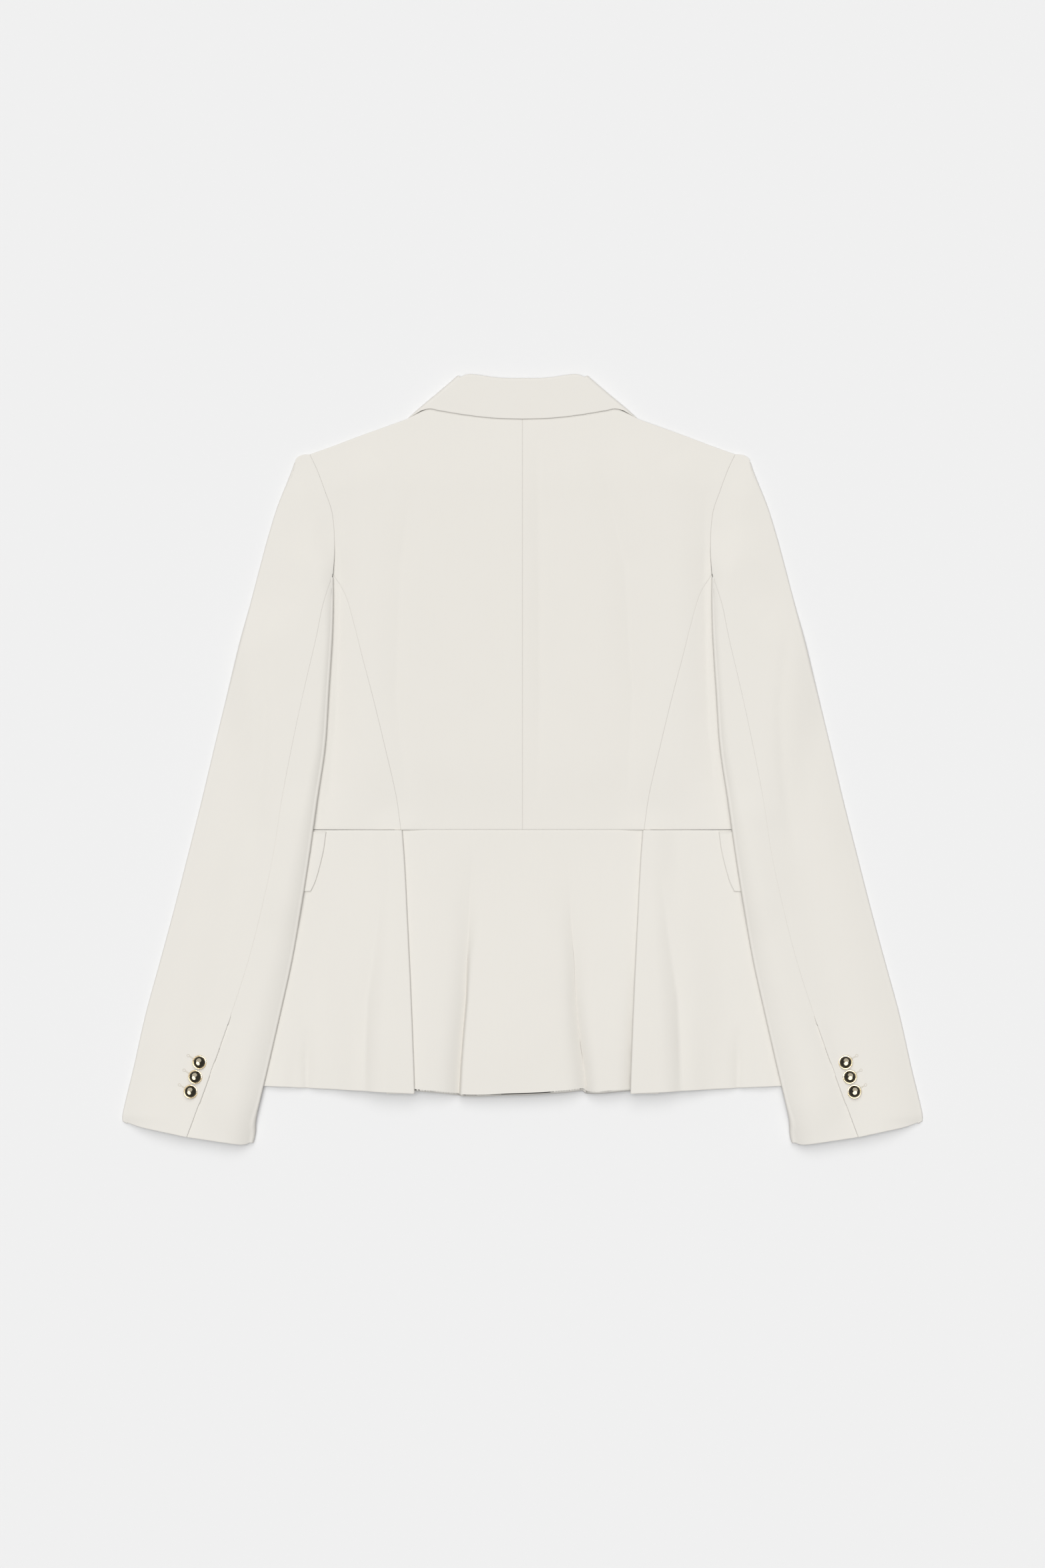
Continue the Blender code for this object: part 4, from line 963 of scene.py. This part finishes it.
def peplum_front(side, finish):
    """Half of the peplum's front, from the centre to its side seam."""
    seam = risen(through(*column(PEPLUM, "front_seam")), HEM_RISE_SIDE / 2)
    centre = through(HEM_FRONT[0], (0, WAIST))
    hem = line_of(points(*HEM_FRONT), seam[0])
    plan = patch(hem, line_of(centre[-1], seam[-1]), centre, seam,
                 shares(length_of(hem), COARSE), shares(length_of(seam), COARSE))
    half_cloth("peplum_front", side, lifted(plan, *sided(side, front_height)), finish,
               (0, WAIST_SEAM, 0, CURVED_SEAM))


def pocket_flap(side, finish):
    """The flap lies on the peplum side, a layer out from it, and turns the side with it."""
    high, beneath, low = sided(side, flap_height, peplum_side_height, front_height)
    rear = through(*FLAP_REAR[::-1])
    edge = fold_inset(through(*FLAP_SIDE), 1, beneath, low)
    along = shares(length_of(rear), FINE / 2)
    over = strip(rear, edge, along, high, FINE / 2, (True, False), gauge=1)
    under = strip(edge, through(*FLAP_FRONT[::-1]), along, on_table, COARSE, (False, True), gauge=1)
    sheet = np.concatenate([over, bend(at(edge, along), 1, high, on_table), under], axis=1)
    half_cloth("pocket_flap", side, sheet, finish, (0, WAIST_SEAM, 0, 0))


def ring_faces(first, rings, sides):
    """Quads between rings of points, from the first point on."""
    pairs = [(turn, (turn + 1) % sides) for turn in range(sides)]
    return [(start + turn, start + after, start + sides + after, start + sides + turn)
            for start in range(first, first + (rings - 1) * sides, sides) for turn, after in pairs]


def cuff_button(side, number, centre, rim_finish, dome_painted_reflection_finish):
    """A domed shank button with a rolled rim, leaning on its shank towards the body; the dome wears gold
    darkened with painted reflection, the rim plain gold.
    """
    plan = on_side(points(centre), side)
    base = float(upper_sleeve_height(plan)[0]) + CLOTH / 2 + BUTTON_RISE
    profile = at(through(*BUTTON_PROFILE[1:-1]), np.linspace(0, 1, BUTTON_RINGS))
    angles = [2 * math.pi * turn / BUTTON_TURNS for turn in range(BUTTON_TURNS)]
    verts = [(0.0, 0.0, BUTTON_PROFILE[0].height * MM)]
    verts += [(radius * math.cos(angle), radius * math.sin(angle), height)
              for radius, height in profile for angle in angles]
    verts.append((0.0, 0.0, BUTTON_PROFILE[-1].height * MM))
    last = len(verts) - 1 - BUTTON_TURNS
    round_by_one = [(turn, (turn + 1) % BUTTON_TURNS) for turn in range(BUTTON_TURNS)]
    faces = [(0, 1 + after, 1 + turn) for turn, after in round_by_one]
    faces += ring_faces(1, BUTTON_RINGS, BUTTON_TURNS)
    faces += [(last + turn, last + after, len(verts) - 1) for turn, after in round_by_one]
    name = f"{named('cuff_button', side)}_{number}"
    made = simple_mesh(f"{name}_metal", verts, faces, rim_finish)
    made.data.materials.append(dome_painted_reflection_finish)
    for face in made.data.polygons:
        low = min(verts[corner][2] for corner in face.vertices)
        out = max(math.hypot(*verts[corner][:2]) for corner in face.vertices)
        # Dome faces take the gold darkened with painted reflection, the rim keeps plain gold
        face.material_index = int(low >= DOME_EDGE.height * MM and out <= DOME_EDGE.radius * MM)
    lean_to = Vector((-side * math.cos(BUTTON_HEADING), math.sin(BUTTON_HEADING), 0.0))
    made.rotation_mode = "QUATERNION"
    made.rotation_quaternion = Quaternion(Vector((0.0, 0.0, 1.0)).cross(lean_to), BUTTON_LEAN)
    made.location = (plan[0, 0], plan[0, 1], base)
    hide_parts(name)
    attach(made, "root")


def buttonhole(side, number, centre, finish):
    """A worked buttonhole from under its button: two rows of stitches and an eye at the outer end."""
    heading = math.radians(HOLE_HEADING if side < 0 else 180 - HOLE_HEADING)
    along = np.array([math.cos(heading), math.sin(heading)])
    beside = np.array([-along[1], along[0]])
    start = on_side(points(centre), side)[0]
    share = np.linspace(0, 1, STITCHES * STITCH_STEPS + 1)
    row = start + along * HOLE_LENGTH * share[:, None]
    swell = 0.5 + 0.5 * np.abs(np.sin(share * STITCHES * math.pi))
    angle = np.linspace(-EYE_ROUND, EYE_ROUND, EYE_STEPS)[:, None]
    eye = start + along * EYE_CENTRE + HOLE_EYE * (along * np.cos(angle) + beside * np.sin(angle))
    cords = [(row + beside * edge * HOLE_HALF, THREAD_RADIUS * swell) for edge in (-1, 1)]
    cords.append((eye, EYE_RADIUS * np.ones(EYE_STEPS)))
    verts, faces = [], []
    for plan, radii in cords:
        direction = np.gradient(plan, axis=0)
        direction /= np.linalg.norm(direction, axis=1)[:, None]
        across = np.column_stack([-direction[:, 1], direction[:, 0]])
        heights = upper_sleeve_height(plan) + CLOTH / 2
        first = len(verts)
        for place, aside, height, radius in zip(plan, across, heights, radii):
            for step in range(THREAD_SIDES):
                turn = 2 * math.pi * step / THREAD_SIDES
                verts.append((*(place + aside * math.cos(turn) * radius),
                              height + THREAD_FLAT * math.sin(turn) * radius))
        last = len(verts) - THREAD_SIDES
        faces += ring_faces(first, len(plan), THREAD_SIDES)
        faces += [tuple(range(first, first + THREAD_SIDES))[::-1], tuple(range(last, last + THREAD_SIDES))]
    made = simple_mesh(f"{named('buttonhole', side)}_{number}", verts, faces, finish)
    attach(made, "root")


def shader_of(name):
    """A new material with its node tree and its Principled shader."""
    made = bpy.data.materials.new(name)
    made.use_nodes = True
    return made, made.node_tree, made.node_tree.nodes["Principled BSDF"]


def settle(node, settings):
    """A node with its inputs set by name."""
    for name, value in settings.items():
        node.inputs[name].default_value = value
    return node


def noise_at(tree, place, scale, stretch=(1.0, 1.0, 1.0), detail=2.0):
    """A noise texture on scaled coordinates."""
    mapping = settle(tree.nodes.new("ShaderNodeMapping"), {"Scale": stretch})
    tree.links.new(place, mapping.inputs["Vector"])
    noise = settle(tree.nodes.new("ShaderNodeTexNoise"), {"Scale": scale, "Detail": detail})
    tree.links.new(mapping.outputs["Vector"], noise.inputs["Vector"])
    return noise.outputs["Fac"]


def weighted(tree, main, minor):
    """Two textures added, the first with the greater weight."""
    total = tree.nodes.new("ShaderNodeMath")
    total.operation = "ADD"
    for place, source, weight in zip(total.inputs, (main, minor), (MAIN_WEIGHT, 1 - MAIN_WEIGHT)):
        share = tree.nodes.new("ShaderNodeMath")
        share.operation = "MULTIPLY"
        tree.links.new(source, share.inputs[0])
        share.inputs[1].default_value = weight
        tree.links.new(share.outputs["Value"], place)
    return total.outputs["Value"]


def tint(tree, shader, share, first, second):
    """The shader's colour, from the first to the second by a texture."""
    mix = tree.nodes.new("ShaderNodeMix")
    mix.data_type = "RGBA"
    settle(mix, {"A": first, "B": second})
    tree.links.new(share, mix.inputs["Factor"])
    tree.links.new(mix.outputs["Result"], shader.inputs["Base Color"])


def roughen(tree, shader, share, limits):
    """The shader's roughness, between its limits by a texture."""
    spread = settle(tree.nodes.new("ShaderNodeMapRange"), dict(zip(("To Min", "To Max"), limits)))
    tree.links.new(share, spread.inputs["Value"])
    tree.links.new(spread.outputs["Result"], shader.inputs["Roughness"])


def cream_cloth():
    """A smooth suiting crepe: a fine twill, slubs along the warp, and a soft bloom."""
    made, tree, shader = shader_of("cream_cloth")
    weave = tree.nodes.new("ShaderNodeUVMap")
    weave.uv_map = "weave"
    place = weave.outputs["UV"]
    grain = noise_at(tree, place, GRAIN)
    slub = noise_at(tree, place, SLUB, SLUB_STRETCH)
    cloud = noise_at(tree, place, CLOUD, detail=3.0)
    turned = settle(tree.nodes.new("ShaderNodeMapping"), {"Rotation": (0.0, 0.0, TWILL_ANGLE)})
    tree.links.new(place, turned.inputs["Vector"])
    twill = settle(tree.nodes.new("ShaderNodeTexWave"), {"Scale": TWILL, "Distortion": 1.2, "Detail": 1.0})
    twill.bands_direction = "X"
    tree.links.new(turned.outputs["Vector"], twill.inputs["Vector"])
    tint(tree, shader, weighted(tree, cloud, slub), CREAM_DEEP, CREAM)
    roughen(tree, shader, grain, CLOTH_ROUGH)
    bump = settle(tree.nodes.new("ShaderNodeBump"), {"Strength": 0.35, "Distance": RELIEF})
    tree.links.new(weighted(tree, grain, twill.outputs["Fac"]), bump.inputs["Height"])
    tree.links.new(bump.outputs["Normal"], shader.inputs["Normal"])
    settle(shader, {"Specular IOR Level": 0.2, "Sheen Weight": 0.08, "Sheen Roughness": 0.5})
    return made


def thread():
    """Silk twist, some shades deeper than the cloth: partly the thread's own tone, partly painted shade of
    the open slit between the rows.
    """
    made, tree, shader = shader_of("thread")
    place = tree.nodes.new("ShaderNodeTexCoord").outputs["Object"]
    tint(tree, shader, noise_at(tree, place, TWIST), THREAD_WITH_PAINTED_SLIT_SHADE, CREAM)
    settle(shader, {"Roughness": 0.6})
    return made


def polished(name, colour):
    """Polished metal with the faintest rub marks."""
    made, tree, shader = shader_of(name)
    place = tree.nodes.new("ShaderNodeTexCoord").outputs["Object"]
    roughen(tree, shader, noise_at(tree, place, RUB_MARKS, detail=3.0), METAL_ROUGH)
    settle(shader, {"Base Color": colour, "Metallic": 1.0})
    return made


def studio():
    """Camera, soft lights and a plain pale floor."""
    view = bpy.data.cameras.new("camera")
    view.lens = LENS
    view.sensor_width = SENSOR
    camera = bpy.data.objects.new("camera", view)
    camera.location = (0.0, (CENTRE_ROW - PHOTO_HEIGHT / 2) * PIXEL, PHOTO_HEIGHT * PIXEL * LENS / SENSOR)
    SCENE.objects.link(camera)
    bpy.context.scene.camera = camera
    bpy.context.scene.view_settings.view_transform = "Standard"
    for source in LIGHTS:
        lamp = bpy.data.lights.new(source.name, "SUN")
        lamp.energy = source.strength
        lamp.angle = math.radians(source.spread)
        light = bpy.data.objects.new(source.name, lamp)
        light.rotation_euler = (math.radians(source.elevation - 90), 0.0, math.radians(source.turn))
        SCENE.objects.link(light)
    world = bpy.data.worlds.new("studio")
    world.use_nodes = True
    settle(world.node_tree.nodes["Background"], {"Color": (1.0, 1.0, 1.0, 1.0), "Strength": AMBIENT})
    bpy.context.scene.world = world
    finish, _, shader = shader_of("paper")
    settle(shader, {"Base Color": FLOOR, "Roughness": 0.95, "Specular IOR Level": 0.0})
    corners = [(x * FLOOR_REACH, y * FLOOR_REACH, 0.0) for x, y in ((-1, -1), (1, -1), (1, 1), (-1, 1))]
    simple_mesh("floor", corners, [(0, 1, 2, 3)], finish)


studio()
cream, silk = cream_cloth(), thread()
# The second gold is darkened with painted reflection, for the button domes
gold, dome_gold_painted_reflection = polished("gold_metal", GOLD), polished("gold_metal_painted_dark_reflection", DOME_GOLD_PAINTED_REFLECTION)
for side in (1, -1):
    for piece in (body_back, body_side, body_front, lapel, upper_sleeve, under_sleeve,
                  peplum_side, peplum_front, pocket_flap):
        piece(side, cream)
    for number, centre in enumerate(BUTTONS, start=1):
        cuff_button(side, number, centre, gold, dome_gold_painted_reflection)
        buttonhole(side, number, centre, silk)
peplum_back(cream)
collar(cream)
